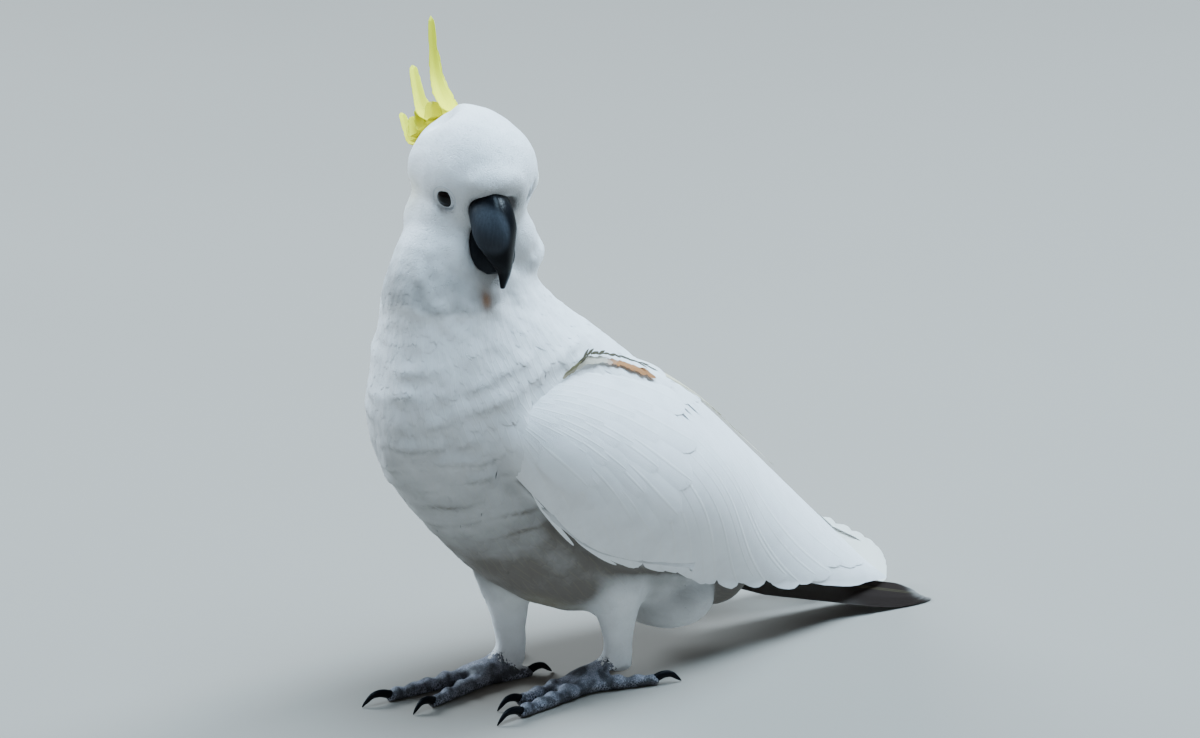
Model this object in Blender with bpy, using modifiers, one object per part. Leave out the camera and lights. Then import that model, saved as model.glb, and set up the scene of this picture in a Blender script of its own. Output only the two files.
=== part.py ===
"""A sulphur-crested cockatoo at life size, standing on the floor with its head turned to its left.

The bird faces -Y, its left side is +X and up is +Z. Every length is in metres. The body is
modelled whole, from a back line, a belly line and a width, and is then parted into head, neck
and trunk by thin cuts. Bill, eyes, crest, wings, tail, legs, toes and claws are their own solids.
"""

import math

import bmesh
import bpy
import numpy as np
from mathutils import Matrix, Vector

MM = 0.001
GAP = 0.3 * MM  # air between neighbours, so that no two solids touch
BIG = 1.0  # half-size of the slabs that part the body

# The body, as stations from under the crown to the root of the tail. Each has the back's
# (y, z), the belly's (y, z) and the half width, in millimetres.
BODY_STATIONS = {
    "crown": ((-27, 322), (-78, 316), 22),
    "jaw": ((-22, 292), (-103, 288), 27),
    "throat": ((-18, 263), (-113, 256), 36),
    "collar": ((0, 243), (-118, 227), 48),
    "shoulder": ((34, 217), (-124, 193), 56),
    "breast": ((64, 191), (-118, 157), 58),
    "keel": ((90, 164), (-89, 117), 56),
    "belly": ((111, 141), (-46, 73), 52),
    "hip": ((130, 121), (4, 44), 46),
    "vent": ((147, 102), (58, 34), 39),
    "undertail": ((160, 82), (102, 42), 27),
    "tail_root": ((174, 55), (146, 34), 14),
}
BODY_RINGS = 24
BODY_AROUND = 24

# Round masses of fluff that swell the body's underside: centre, then half-sizes.
FLUFF = {
    "vent_fluff": (Vector((1, 85, 44)) * MM, Vector((36, 35, 28)) * MM),
    "undertail_fluff": (Vector((2, 124, 38)) * MM, Vector((24, 28, 18)) * MM),
}

# Head, in a frame at its centre that faces -Y before it is turned.
HEAD_CENTRE = Vector((0, -53, 325)) * MM
HEAD_TURN = math.radians(70)
HEAD_HALF = Vector((36, 41, 37)) * MM
# The full cheeks: centre in the head's frame, then half-sizes. The left one hangs lower.
CHEEKS = {
    "cheek_left": (Vector((15, -4, -36)) * MM, Vector((21, 24, 23)) * MM),
    "cheek_right": (Vector((-16, -3, -23)) * MM, Vector((23, 26, 25)) * MM),
}
NECK_TOP = ((-60, 266), 6)  # (y, z) of the cut in millimetres, and its slope in degrees
NECK_BASE = ((-58, 226), 16)

# The crest in its levels, front to back: a feather's root, crown, bend and tip as (back, up) from
# the head's centre, and for each feather of the level how far its tip stands to the left, in mm.
CREST = (
    (((8, 33.5), (36, 31), (62, 40), (72, 73.5)), (-1,)),
    (((12, 30), (40, 27), (65, 37), (74.5, 66)), (1,)),
    (((16, 26.5), (43, 19), (72, 22), (88, 41)), (-7, 6)),
    (((21, 22), (43, 11), (72, -1), (92, 10.5)), (-12.5, 10)),
)

EYE_RADIUS = 6.0 * MM
EYE_PLACE = Vector((24.0, -23.0, -9.0)) * MM

# Wings, as rails in millimetres from the shoulder to the tip of the longest primary.
WING_UPPER = ((38, -62, 206), (42, -22, 218), (29, 46, 198), (12, 100, 166), (6, 150, 122),
              (8, 200, 72), (16, 250, 16))
WING_LOWER = ((46, -74, 166), (56, -48, 123), (57, -4, 89), (53, 56, 67), (45, 118, 48),
              (36, 186, 29), (23, 255, 9))
WING_BULGE = (8, 14, 21, 24, 16, 8, 2)
WING_THICKNESS = (9, 16, 18, 15, 9, 5, 2.4)
# How far the right wing's tip is carried in, back and up, at its upper and its lower rail, in mm.
RIGHT_TIP = ((13, 8, 17), (15, 14, 2))
QUILL_LINE = ((0, 96, 130), 24)  # a point where the coverts end, in mm, and that line's lean in degrees

TAIL_ROOT = Vector((0, 110, 46)) * MM
TAIL_LENGTH = 178 * MM
TAIL_HALF = (13 * MM, 32 * MM)  # half width at the root and at the tip
TAIL_THICK = 3 * MM
TAIL_ARCH = 8 * MM  # how much lower the fan's sides are than its ridge
TAIL_DROP = math.radians(15)
TAIL_ROLL = math.radians(5)
TAIL_SWING = math.radians(-4)
TAIL_REST = 1.3 * MM  # height of the sheet's middle where it lies on the floor
TAIL_FEATHERS = 12

FOOT_STEP = 21 * MM  # half of how far the left foot stands behind the right one
FOOT_SIDE = 24 * MM
ANKLE_BACK = 15 * MM
PALM_FORWARD = 28 * MM  # from the ankle to the palm, along the foot
# Each toe: the angle from straight ahead, outwards, on the left and the right foot, the length
# without its claw, the claw's length, how far to the outside it grows, and its radius.
TOES = {
    "inner_front": ((1, -10), 45, 15, -5.5, 4.8),
    "outer_front": ((6, 5), 58, 17, 5.5, 5.0),
    "inner_back": ((203, 190), 32, 13, -5.0, 4.2),
    "outer_back": ((158, 158), 41, 14, 5.5, 4.5),
}


def collection(name):
    """A new collection in the scene."""
    made = bpy.data.collections.new(name)
    bpy.context.scene.collection.children.link(made)
    return made


def clear():
    for old in list(bpy.data.objects):
        bpy.data.objects.remove(old)


def material(name, colour, roughness, metallic=0.0):
    made = bpy.data.materials.new(name)
    made.use_nodes = True
    shader = made.node_tree.nodes["Principled BSDF"]
    shader.inputs["Base Color"].default_value = (*colour, 1)
    shader.inputs["Roughness"].default_value = roughness
    shader.inputs["Metallic"].default_value = metallic
    return made


def smooth_rail(points, count):
    """A smooth curve through points, read at even steps: a Catmull-Rom spline by chord length."""
    p = np.asarray(points, float)
    if p.ndim == 1:
        p = p[:, None]
    ends = np.vstack([2 * p[0] - p[1], p, 2 * p[-1] - p[-2]])
    at = np.linspace(0, len(p) - 1, count)
    i = np.minimum(at.astype(int), len(p) - 2)
    t = (at - i)[:, None]
    a, b, c, d = ends[i], ends[i + 1], ends[i + 2], ends[i + 3]
    return 0.5 * (2 * b + (c - a) * t + (2 * a - 5 * b + 4 * c - d) * t**2 + (3 * b - a - 3 * c + d) * t**3)


def mesh_object(name, points, faces, target, look=None):
    """An object whose faces all point out."""
    mesh = bpy.data.meshes.new(name)
    mesh.from_pydata([tuple(p) for p in points], [], faces)
    bm = bmesh.new()
    bm.from_mesh(mesh)
    bmesh.ops.recalc_face_normals(bm, faces=bm.faces)
    bm.to_mesh(mesh)
    bm.free()
    mesh.shade_smooth()
    made = bpy.data.objects.new(name, mesh)
    if look:
        mesh.materials.append(look)
    target.objects.link(made)
    return made


def loft(name, rings, target, look=None):
    """One closed solid through rings of points (rings, around, 3), with flat ends."""
    rings = np.asarray(rings, float)
    count, around = rings.shape[:2]
    pairs = [(j, (j + 1) % around) for j in range(around)]
    faces = []
    for i in range(0, (count - 1) * around, around):
        faces += [(i + j, i + k, i + around + k, i + around + j) for j, k in pairs]
    faces += [tuple(range(around)), tuple(range((count - 1) * around, count * around))]
    return mesh_object(name, rings.reshape(-1, 3), faces, target, look)


def ellipse_rings(centre, side, depth, around, power=1.0):
    """Rings round centre points, with half-axes side and depth, each an array of vectors.
    A power under 1 makes the section squarer."""
    t = np.linspace(0, 2 * math.pi, around, endpoint=False)
    c = np.sign(np.cos(t)) * np.abs(np.cos(t)) ** power
    s = np.sign(np.sin(t)) * np.abs(np.sin(t)) ** power
    return centre[:, None] + side[:, None] * c[:, None] + depth[:, None] * s[:, None]


def limb_rings(path, half_side, half_depth, around, grow=0.0, side=(1, 0, 0)):
    """Rings square to a path that lies in the plane whose normal is side."""
    path = np.asarray(path, float)
    side = np.asarray(side, float)
    run = np.gradient(path, axis=0)
    run /= np.linalg.norm(run, axis=1)[:, None]
    up = np.cross(side, run)
    path = path.copy()
    path[0] -= run[0] * grow
    path[-1] += run[-1] * grow
    sides = side * (np.asarray(half_side) + grow)[:, None]
    depths = up * (np.asarray(half_depth) + grow)[:, None]
    return ellipse_rings(path, sides, depths, around)


def ellipsoid(name, centre, half, target, look=None, segments=18, turn=None):
    """A sphere of unit radius, scaled, turned and moved."""
    bm = bmesh.new()
    bmesh.ops.create_uvsphere(bm, u_segments=segments, v_segments=segments * 2 // 3, radius=1)
    place = Matrix.Translation(centre) @ (turn or Matrix.Identity(4)) @ Matrix.Diagonal((*half, 1))
    bmesh.ops.transform(bm, matrix=place, verts=bm.verts)
    mesh = bpy.data.meshes.new(name)
    bm.to_mesh(mesh)
    bm.free()
    mesh.shade_smooth()
    if look:
        mesh.materials.append(look)
    made = bpy.data.objects.new(name, mesh)
    target.objects.link(made)
    return made


def combine(piece, other, operation):
    """Applies one Boolean to piece and drops the modifier, so that later cuts see the result."""
    modifier = piece.modifiers.new("join", "BOOLEAN")
    modifier.object = other
    modifier.operation = operation
    modifier.solver = "EXACT"
    bpy.context.view_layer.update()
    evaluated = piece.evaluated_get(bpy.context.evaluated_depsgraph_get())
    mesh = bpy.data.meshes.new_from_object(evaluated)
    piece.modifiers.clear()
    looks = list(piece.data.materials)
    piece.data = mesh
    mesh.materials.clear()
    for look in looks:
        mesh.materials.append(look)


def part_of(whole, name, planes, target, look):
    """The part of whole on the inner side of each (point, outward normal) plane, with flat ends."""
    bm = bmesh.new()
    bm.from_mesh(whole.data)
    for point, normal in planes:
        geometry = bm.verts[:] + bm.edges[:] + bm.faces[:]
        cut = bmesh.ops.bisect_plane(
            bm, geom=geometry, plane_co=point, plane_no=normal, clear_outer=True, dist=1e-7
        )
        edges = [e for e in cut["geom_cut"] if isinstance(e, bmesh.types.BMEdge)]
        bmesh.ops.contextual_create(bm, geom=edges)
    bmesh.ops.recalc_face_normals(bm, faces=bm.faces)
    mesh = bpy.data.meshes.new(name)
    bm.to_mesh(mesh)
    bm.free()
    mesh.shade_smooth()
    mesh.materials.clear()
    mesh.materials.append(look)
    made = bpy.data.objects.new(name, mesh)
    target.objects.link(made)
    return made


def body_form(name, grow, helpers):
    """Neck and trunk in one, from the crown to the root of the tail, swollen by grow."""
    back, belly, width = (
        smooth_rail([station[k] for station in BODY_STATIONS.values()], BODY_RINGS) * MM for k in range(3)
    )
    centre = np.zeros((BODY_RINGS, 3))
    depth = np.zeros((BODY_RINGS, 3))
    centre[:, 1:] = (back + belly) / 2
    depth[:, 1:] = (back - belly) / 2
    length = np.linalg.norm(depth, axis=1)[:, None]
    depth *= (length + grow) / length
    side = np.zeros((BODY_RINGS, 3))
    side[:, 0] = width[:, 0] + grow
    centre[0, 2] += grow
    centre[-1, 1] += grow
    return loft(name, ellipse_rings(centre, side, depth, BODY_AROUND), helpers)


def head_form(name, grow, helpers):
    """Forehead, crown and nape as one egg, with a full cheek low on each side."""
    turn = Matrix.Rotation(HEAD_TURN, 4, "Z")
    swell = Vector((grow, grow, grow))
    head = ellipsoid(name, HEAD_CENTRE, HEAD_HALF + swell, helpers, segments=20, turn=turn)
    for label, (centre, half) in CHEEKS.items():
        place = HEAD_CENTRE + turn @ centre
        cheek = ellipsoid(f"{name}_{label}", place, half + swell, helpers, segments=16, turn=turn)
        combine(head, cheek, "UNION")
        bpy.data.objects.remove(cheek)
    return head


def bird_form(name, grow, helpers):
    """Head, neck, trunk and the fluff under the tail, joined in one closed surface."""
    whole = body_form(name, grow, helpers)
    swell = Vector((grow, grow, grow))
    others = [head_form(name + "_head", grow, helpers)]
    for label, (centre, half) in FLUFF.items():
        others.append(ellipsoid(f"{name}_{label}", centre, half + swell, helpers, segments=16))
    for other in others:
        combine(whole, other, "UNION")
        bpy.data.objects.remove(other)
    return whole


def sloped(cut, sign):
    """A plane across the neck as (point, normal), shifted by half the gap towards the part kept."""
    (y, z), degrees = cut
    normal = Vector((0, -math.sin(math.radians(degrees)), math.cos(math.radians(degrees)))) * sign
    return Vector((0, y, z)) * MM - normal * GAP / 2, normal


def head_frame():
    """The empty that the head's own pieces hang from: at the head's centre, turned with it."""
    frame = bpy.data.objects.new("head_frame", None)
    frame.location = HEAD_CENTRE
    frame.rotation_euler = (0, 0, HEAD_TURN)
    bpy.context.scene.collection.objects.link(frame)
    bpy.context.view_layer.update()
    return frame


def bill_rings(upper, grow):
    """The hook of the upper bill, or the scoop of the lower one, in the head's frame."""
    if upper:
        path = ((-24, -10), (-34, -11), (-42, -16), (-47, -25), (-48, -36), (-46, -47), (-43, -58))
        side = (13.5, 14, 13.5, 11.5, 8.5, 4.8, 1.2)
        depth = (11, 12, 11.5, 10.5, 8, 4.5, 1.0)
    else:
        path = ((-20, -25), (-26, -32), (-32, -40), (-36, -46), (-38.5, -50))
        side = (11, 13, 13, 11, 6)
        depth = (10, 10.5, 9.5, 6.5, 2.5)
    count = 11 if upper else 8
    centre = np.zeros((count, 3))
    centre[:, 1:] = smooth_rail(path, count) * MM
    rails = [smooth_rail(r, count)[:, 0] * MM for r in (side, depth)]
    return limb_rings(centre, *rails, 12, grow)


def bill(frame, flesh, parts, helpers, horn):
    """Upper and lower bill, each let into the head and the neck."""
    made = []
    for name, upper in (("bill_upper", True), ("bill_lower", False)):
        piece = loft(name, bill_rings(upper, 0), parts, horn)
        cutter = loft(name + "_room", bill_rings(upper, GAP), helpers)
        for item in (piece, cutter):
            item.parent = frame
        for piece_of_flesh in flesh:
            combine(piece_of_flesh, cutter, "DIFFERENCE")
        made.append((piece, cutter))
    combine(made[1][0], made[0][1], "DIFFERENCE")


def eyes(frame, head, parts, helpers, dark):
    """A round eyeball on each side, set in a socket."""
    for name, side in (("eye_left", 1), ("eye_right", -1)):
        place = Vector((side * EYE_PLACE.x, EYE_PLACE.y, EYE_PLACE.z))
        half = Vector((1, 1, 1)) * EYE_RADIUS
        piece = ellipsoid(name, place, half, parts, dark, segments=12)
        room = ellipsoid(name + "_room", place, half + Vector((1, 1, 1)) * GAP, helpers, segments=12)
        for item in (piece, room):
            item.parent = frame
        combine(head, room, "DIFFERENCE")


def crest(frame, head_room, parts, yellow):
    """Six long feathers that lie back over the crown and curl up at their tips."""
    count = 9
    t = np.linspace(0, 1, count)
    half_side = (1.2 + 1.9 * np.sin(math.pi * np.clip(t * 0.75 + 0.25, 0, 1))) * MM
    half_depth = (1.7 - 0.8 * t) * MM
    feathers = [(path, shift) for path, shifts in CREST for shift in shifts]
    for number, (path, shift) in enumerate(feathers, 1):
        centre = np.zeros((count, 3))
        centre[:, 1:] = smooth_rail(path, count) * MM
        centre[:, 0] = shift * (0.5 + 0.5 * np.sin(t * math.pi / 2)) * MM
        piece = loft(f"crest_{number}", limb_rings(centre, half_side, half_depth, 6), parts, yellow)
        piece.parent = frame
        combine(piece, head_room, "DIFFERENCE")


def wing_rings(side, carried):
    """Sections of a folded wing: a lens from the upper to the lower rail that bulges outwards."""
    count, around = 17, 14
    tip_share = np.linspace(0, 1, count)[:, None] ** 9
    upper, lower = (
        (smooth_rail(rail, count) + tip_share * (-shift[0], *shift[1:])) * MM
        for rail, shift in zip((WING_UPPER, WING_LOWER), carried)
    )
    bulge = smooth_rail(WING_BULGE, count) * MM
    thickness = smooth_rail(WING_THICKNESS, count) * MM
    run = np.gradient((upper + lower) / 2, axis=0)
    out = np.cross(run, upper - lower)
    out /= np.linalg.norm(out, axis=1)[:, None]
    t = np.linspace(0, 2 * math.pi, around, endpoint=False)
    c, s = np.cos(t)[None, :, None], np.sin(t)[None, :, None]
    middle, half = ((upper + lower) / 2)[:, None], ((upper - lower) / 2)[:, None]
    rings = middle + half * c + out[:, None] * (bulge[:, None] * (1 - c**2) + thickness[:, None] / 2 * s)
    return rings * (side, 1, 1)


def wings(rooms, parts, white):
    """Both folded wings, hollowed by the body and tail that they lie on, and parted at the line
    where the coverts end and the long quills show."""
    (x, y, z), lean = QUILL_LINE
    along = Vector((0, math.cos(math.radians(lean)), -math.sin(math.radians(lean))))
    for name, side, carried in (("wing_left", 1, ((0, 0, 0), (0, 0, 0))), ("wing_right", -1, RIGHT_TIP)):
        whole = loft(name + "_whole", wing_rings(side, carried), rooms[0].users_collection[0])
        for room in rooms:
            combine(whole, room, "DIFFERENCE")
        middle = Vector((x, y, z)) * MM
        for label, sign in (("coverts", 1), ("quills", -1)):
            plane = (middle - along * sign * GAP / 2, along * sign)
            part_of(whole, f"{name}_{label}", [plane], parts, white)


def tail_sheet(name, thick, target, look=None):
    """A fan of feathers as one arched sheet with a rounded tip for each feather, given thickness."""
    steps, columns = 4, TAIL_FEATHERS * 2
    t = np.linspace(-1, 1, columns + 1)
    along = np.linspace(0, 1, steps + 1)[:, None]
    lobes = np.abs(np.sin(math.pi * (t + 1) * TAIL_FEATHERS / 2)) ** 0.6
    reach = TAIL_LENGTH * (1 - 0.05 * t**2) - 3.5 * MM * (1 - lobes)
    half = TAIL_HALF[0] + (TAIL_HALF[1] - TAIL_HALF[0]) * along**0.8
    x = half * t
    y = along * reach
    z = np.broadcast_to(-TAIL_ARCH * np.abs(t) ** 1.4, x.shape)
    turn = Matrix.Rotation(TAIL_SWING, 3, "Z") @ Matrix.Rotation(-TAIL_DROP, 3, "X")
    turn = turn @ Matrix.Rotation(TAIL_ROLL, 3, "Y")
    points = np.stack([x, y, z], axis=-1).reshape(-1, 3) @ np.array(turn).T + TAIL_ROOT
    points[:, 2] = np.maximum(points[:, 2], TAIL_REST)
    row = columns + 1
    faces = [
        (i * row + j, (i + 1) * row + j, (i + 1) * row + j + 1, i * row + j + 1)
        for i in range(steps)
        for j in range(columns)
    ]
    sheet = mesh_object(name, points, faces, target, look)
    shell = sheet.modifiers.new("thickness", "SOLIDIFY")
    shell.thickness = thick
    shell.offset = 0
    return sheet


def flatten(piece):
    """Bakes a piece's modifiers and place into its mesh."""
    bpy.context.view_layer.update()
    mesh = bpy.data.meshes.new_from_object(piece.evaluated_get(bpy.context.evaluated_depsgraph_get()))
    mesh.transform(piece.matrix_world)
    looks = list(piece.data.materials)
    piece.modifiers.clear()
    piece.matrix_world = Matrix.Identity(4)
    piece.data = mesh
    mesh.materials.clear()
    for look in looks:
        mesh.materials.append(look)
    return piece


def above_floor(piece):
    """Cuts off what lies under the floor, which leaves the flats that the bird stands on."""
    bm = bmesh.new()
    bm.from_mesh(piece.data)
    world = piece.matrix_world.inverted()
    cut = bmesh.ops.bisect_plane(
        bm,
        geom=bm.verts[:] + bm.edges[:] + bm.faces[:],
        plane_co=world @ Vector((0, 0, 0)),
        plane_no=Vector((0, 0, -1)),
        clear_outer=True,
        dist=1e-7,
    )
    edges = [e for e in cut["geom_cut"] if isinstance(e, bmesh.types.BMEdge)]
    if edges:
        bmesh.ops.holes_fill(bm, edges=edges)
    bmesh.ops.recalc_face_normals(bm, faces=bm.faces)
    bm.to_mesh(piece.data)
    bm.free()


def tail(body_room, parts, white):
    piece = flatten(tail_sheet("tail", TAIL_THICK, parts, white))
    above_floor(piece)
    combine(piece, body_room, "DIFFERENCE")
    return piece


def foot_frame(name, side, palm_y):
    """The empty under a palm, on the floor, that the foot's own pieces hang from."""
    frame = bpy.data.objects.new(name, None)
    frame.location = (side * FOOT_SIDE, palm_y, 0)
    bpy.context.scene.collection.objects.link(frame)
    bpy.context.view_layer.update()
    return frame


def shank_rings(grow):
    """The scaly shank, from the ankle forward and down into the palm."""
    path = ((30, 27), (23, 18), (12, 11.5), (1, 8.5), (-6, 7))
    count = 8
    centre = np.zeros((count, 3))
    centre[:, 1:] = smooth_rail(path, count) * MM
    half_side = smooth_rail((6.0, 6.0, 7.0, 9.5, 7.5), count)[:, 0] * MM
    half_depth = smooth_rail((5.5, 5.5, 6.0, 7.0, 4.5), count)[:, 0] * MM
    return limb_rings(centre, half_side, half_depth, 10, grow)


def toe_line(side, angle, shift):
    """Where a toe starts on the palm, its level direction, and the direction to its left."""
    turn = math.radians(angle)
    ahead = np.array([side * math.sin(turn), -math.cos(turn), 0])
    start = np.array([side * shift * MM, 0, 0]) + ahead * 2 * MM
    return start, ahead, np.cross(ahead, (0, 0, 1))


def toe_rings(side, angle, length, shift, radius, grow):
    """A toe with a pad under each of its joints, which rests on the floor."""
    start, ahead, across = toe_line(side, angle, shift)
    count = 8
    t = np.linspace(0, 1, count)
    thick = radius * MM * (1.12 - 0.32 * t) * (1 + 0.10 * np.cos(2 * math.pi * t * length / 16))
    thick[-1] *= 0.8
    path = start + ahead * (t * length * MM)[:, None]
    path[:, 2] = thick - 0.3 * MM
    return limb_rings(path, thick, thick, 8, grow, across)


def claw_rings(side, angle, length, claw, shift, radius):
    """A hooked claw that leaves the toe's end, arches and comes down to the floor."""
    start, ahead, across = toe_line(side, angle, shift)
    at = start + ahead * (length - 3) * MM
    count = 7
    along = smooth_rail((0, 0.32, 0.62, 0.86, 1.0), count)[:, 0] * (claw + 3) * MM
    arch = (radius * 0.85, radius + 1.4, radius + 1.2, radius * 0.62, 0.7)
    height = smooth_rail(arch, count)[:, 0] * MM
    path = at + ahead * along[:, None]
    path[:, 2] = height
    thick = smooth_rail((2.7, 2.4, 1.9, 1.2, 0.35), count)[:, 0] * MM
    return limb_rings(path, thick * 0.8, thick, 6, 0, across)


def foot(name, side, palm_y, parts, helpers, skin, horn):
    """Shank, toes and claws, each cut to fit the one that it grows from."""
    frame = foot_frame("foot_frame_" + name, side, palm_y)
    shank = loft("shank_" + name, shank_rings(0), parts, skin)
    shank_room = loft(f"shank_{name}_room", shank_rings(GAP), helpers)
    for item in (shank, shank_room):
        item.parent = frame
    for label, (angles, length, claw, shift, radius) in TOES.items():
        angle = angles[0 if side > 0 else 1]
        toe = loft(f"toe_{name}_{label}", toe_rings(side, angle, length, shift, radius, 0), parts, skin)
        room = loft(f"{toe.name}_room", toe_rings(side, angle, length, shift, radius, GAP), helpers)
        nail_rings = claw_rings(side, angle, length, claw, shift, radius)
        nail = loft(f"claw_{name}_{label}", nail_rings, parts, horn)
        for item in (toe, room, nail):
            item.parent = frame
        combine(nail, room, "DIFFERENCE")
        above_floor(toe)
        combine(toe, shank_room, "DIFFERENCE")
    return frame, shank_room


def thigh_rings(side, ankle_y, hip_y):
    """The feathered leg, from inside the belly down to the ankle."""
    upper_y, lower_y = (hip_y * 2 + ankle_y) / 3, (hip_y + ankle_y * 2) / 3
    path = ((29, hip_y, 82), (28, upper_y, 62), (26, lower_y, 40), (24, ankle_y - 2, 17))
    count = 8
    centre = smooth_rail(path, count) * MM
    centre[:, 0] *= side
    half_side = smooth_rail((16, 15, 12, 9), count)[:, 0] * MM
    half_depth = smooth_rail((24, 20, 14, 10), count)[:, 0] * MM
    return limb_rings(centre, half_side, half_depth, 12)


def legs(body_room, parts, helpers, white, skin, horn):
    """Both legs. The left one stands a step behind the right one."""
    frames = []
    for name, side, step in (("left", 1, FOOT_STEP), ("right", -1, -FOOT_STEP)):
        ankle_y = ANKLE_BACK + step
        frame, shank_room = foot(name, side, ankle_y - PALM_FORWARD, parts, helpers, skin, horn)
        thigh = loft("thigh_" + name, thigh_rings(side, ankle_y / MM, ankle_y / MM - 8), parts, white)
        for other in (body_room, shank_room):
            combine(thigh, other, "DIFFERENCE")
        frames.append(frame)
    return frames


def centre_on_floor(parts):
    """Hangs everything from one empty, so that the origin is at the bird's middle, on the floor."""
    bpy.context.view_layer.update()
    corners = [piece.matrix_world @ v.co for piece in parts.objects for v in piece.data.vertices]
    low = [min(c[k] for c in corners) for k in range(3)]
    high = [max(c[k] for c in corners) for k in range(3)]
    bird = bpy.data.objects.new("bird", None)
    bpy.context.scene.collection.objects.link(bird)
    for item in list(bpy.data.objects):
        if item is not bird and item.parent is None:
            item.parent = bird
    bird.location = (-(low[0] + high[0]) / 2, -(low[1] + high[1]) / 2, -low[2])


def main():
    clear()
    parts = collection("cockatoo")
    helpers = collection("helpers")
    helpers.hide_render = True
    white = material("white_feather", (0.86, 0.86, 0.85), 0.8)
    yellow = material("yellow_feather", (0.85, 0.75, 0.12), 0.7)
    horn = material("dark_horn", (0.045, 0.048, 0.055), 0.4)
    skin = material("grey_skin", (0.14, 0.14, 0.16), 0.6)
    dark = material("dark_eye", (0.01, 0.008, 0.008), 0.08)
    whole = bird_form("whole", 0, helpers)
    room = bird_form("room", GAP, helpers)
    head = part_of(whole, "head", [sloped(NECK_TOP, -1)], parts, white)
    neck = part_of(whole, "neck", [sloped(NECK_TOP, 1), sloped(NECK_BASE, -1)], parts, white)
    part_of(whole, "trunk", [sloped(NECK_BASE, 1)], parts, white)
    frame = head_frame()
    bill(frame, (head, neck), parts, helpers, horn)
    eyes(frame, head, parts, helpers, dark)
    crest(frame, room, parts, yellow)
    tail(room, parts, white)
    tail_room = flatten(tail_sheet("tail_room", TAIL_THICK + 2 * GAP, helpers))
    wings((room, tail_room), parts, white)
    legs(room, parts, helpers, white, skin, horn)
    centre_on_floor(parts)


main()
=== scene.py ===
"""The looks of a sulphur-crested cockatoo at life size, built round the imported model.

One skin is grown from the flesh of the model and lies a coat's depth inside it. Contour feathers
stand on the skin in one flow from the bill to the tail. Wings, tail and crest have their own long
feathers. Shapes are worked out in millimetres in the bird's own frame (facing -Y, left is +X),
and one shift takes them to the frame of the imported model.
"""

import math

import bpy
import numpy as np
from bpy.props import FloatProperty, FloatVectorProperty, IntProperty, PointerProperty
from mathutils import Matrix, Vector
from mathutils.kdtree import KDTree


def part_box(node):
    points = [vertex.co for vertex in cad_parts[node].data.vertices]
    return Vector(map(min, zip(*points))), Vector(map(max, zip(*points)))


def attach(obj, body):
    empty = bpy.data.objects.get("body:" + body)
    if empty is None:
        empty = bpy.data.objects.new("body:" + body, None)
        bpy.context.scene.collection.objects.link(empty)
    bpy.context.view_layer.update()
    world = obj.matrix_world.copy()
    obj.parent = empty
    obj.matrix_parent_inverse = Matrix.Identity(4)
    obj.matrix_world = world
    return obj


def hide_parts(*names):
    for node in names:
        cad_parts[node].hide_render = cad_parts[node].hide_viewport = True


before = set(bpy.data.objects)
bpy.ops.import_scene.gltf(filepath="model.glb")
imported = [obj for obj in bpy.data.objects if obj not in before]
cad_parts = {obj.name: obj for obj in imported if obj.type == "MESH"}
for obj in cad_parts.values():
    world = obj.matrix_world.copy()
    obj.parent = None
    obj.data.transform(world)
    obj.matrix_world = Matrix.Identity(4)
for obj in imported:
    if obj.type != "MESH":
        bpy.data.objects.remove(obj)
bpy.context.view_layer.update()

bl_info = {
    "name": "Sulphur-crested cockatoo",
    "version": (1, 0, 0),
    "blender": (4, 5, 0),
    "location": "3D View > Sidebar > Cockatoo",
    "description": "Skin, feathers, horn and scales of a standing cockatoo",
    "category": "Add Mesh",
}

MM = 0.001
SIDES = (("left", 1), ("right", -1))

# Landmarks of the bird in its own frame, in millimetres.
HEAD_CENTRE = np.array((0.0, -53.0, 325.0))
HEAD_TURN = math.radians(70)
EYE_PLACE = np.array((24.0, -23.0, -9.0))  # left eye, in the head's frame
EYE_RADIUS = 6.0
EYE_FLAT = 0.85  # share of its radius by which a ball bulges
EYE_OPENING = 4.9  # radius of the lids' inner edge
EYE_RING = {1: 6.4, -1: 8.0}  # radius to which the bare skin reaches
EYE_CLEAR, EYE_TIPS = 6.8, 5.9  # how near an eye's middle feathers may root, and may end
EYE_SUNK = {1: 5.2, -1: 0.5}  # how deep each ball lies behind its place
EYE_LIFT = np.array((0, 0, 2.0))
# The way each eye looks.
EYE_OUT = {1: np.array((0.975, -0.19, -0.12)), -1: np.array((-0.80, -0.56, -0.215))}

# The middle line of the body from the crown to the tail's root, as (y, z).
SPINE = ((-52, 319), (-62, 290), (-65, 260), (-59, 235), (-45, 205), (-27, 174), (0, 140), (32, 107),
         (67, 82), (102, 68), (131, 62), (160, 45), (190, 32))

# Rails of a folded wing from the shoulder to the tip of the longest primary.
WING_UPPER = ((38, -62, 206), (42, -22, 218), (29, 46, 198), (12, 100, 166), (6, 150, 122),
              (8, 200, 72), (16, 250, 16))
WING_LOWER = ((46, -74, 166), (56, -48, 123), (57, -4, 89), (53, 56, 67), (46, 117, 48),
              (41, 182, 31), (29, 250, 11))
WING_SWELL = (12, 21, 29, 31, 18, 7, 2.4)
# How far the tips of each wing's rails are carried from there.
WING_CARRIED = {1: ((0, 0, 0), (0, 0, 0)), -1: ((-13, 8, 17), (-15, 14, 2))}

# How far down the wing its coverts reach, as q at even steps of u: its clean lower edge.
WING_EDGE = (0.98, 0.925, 0.96, 0.985, 1.0, 1.01, 1.01, 1.01, 1.01)

# The middle of a parting in the plumage over the left wing, where ochre down shows, as (u, q).
SLIT = ((0.146, 0.095), (0.168, 0.050), (0.200, 0.020), (0.232, 0.014), (0.262, 0.016), (0.290, 0.022),
        (0.320, 0.036), (0.352, 0.056))

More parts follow.
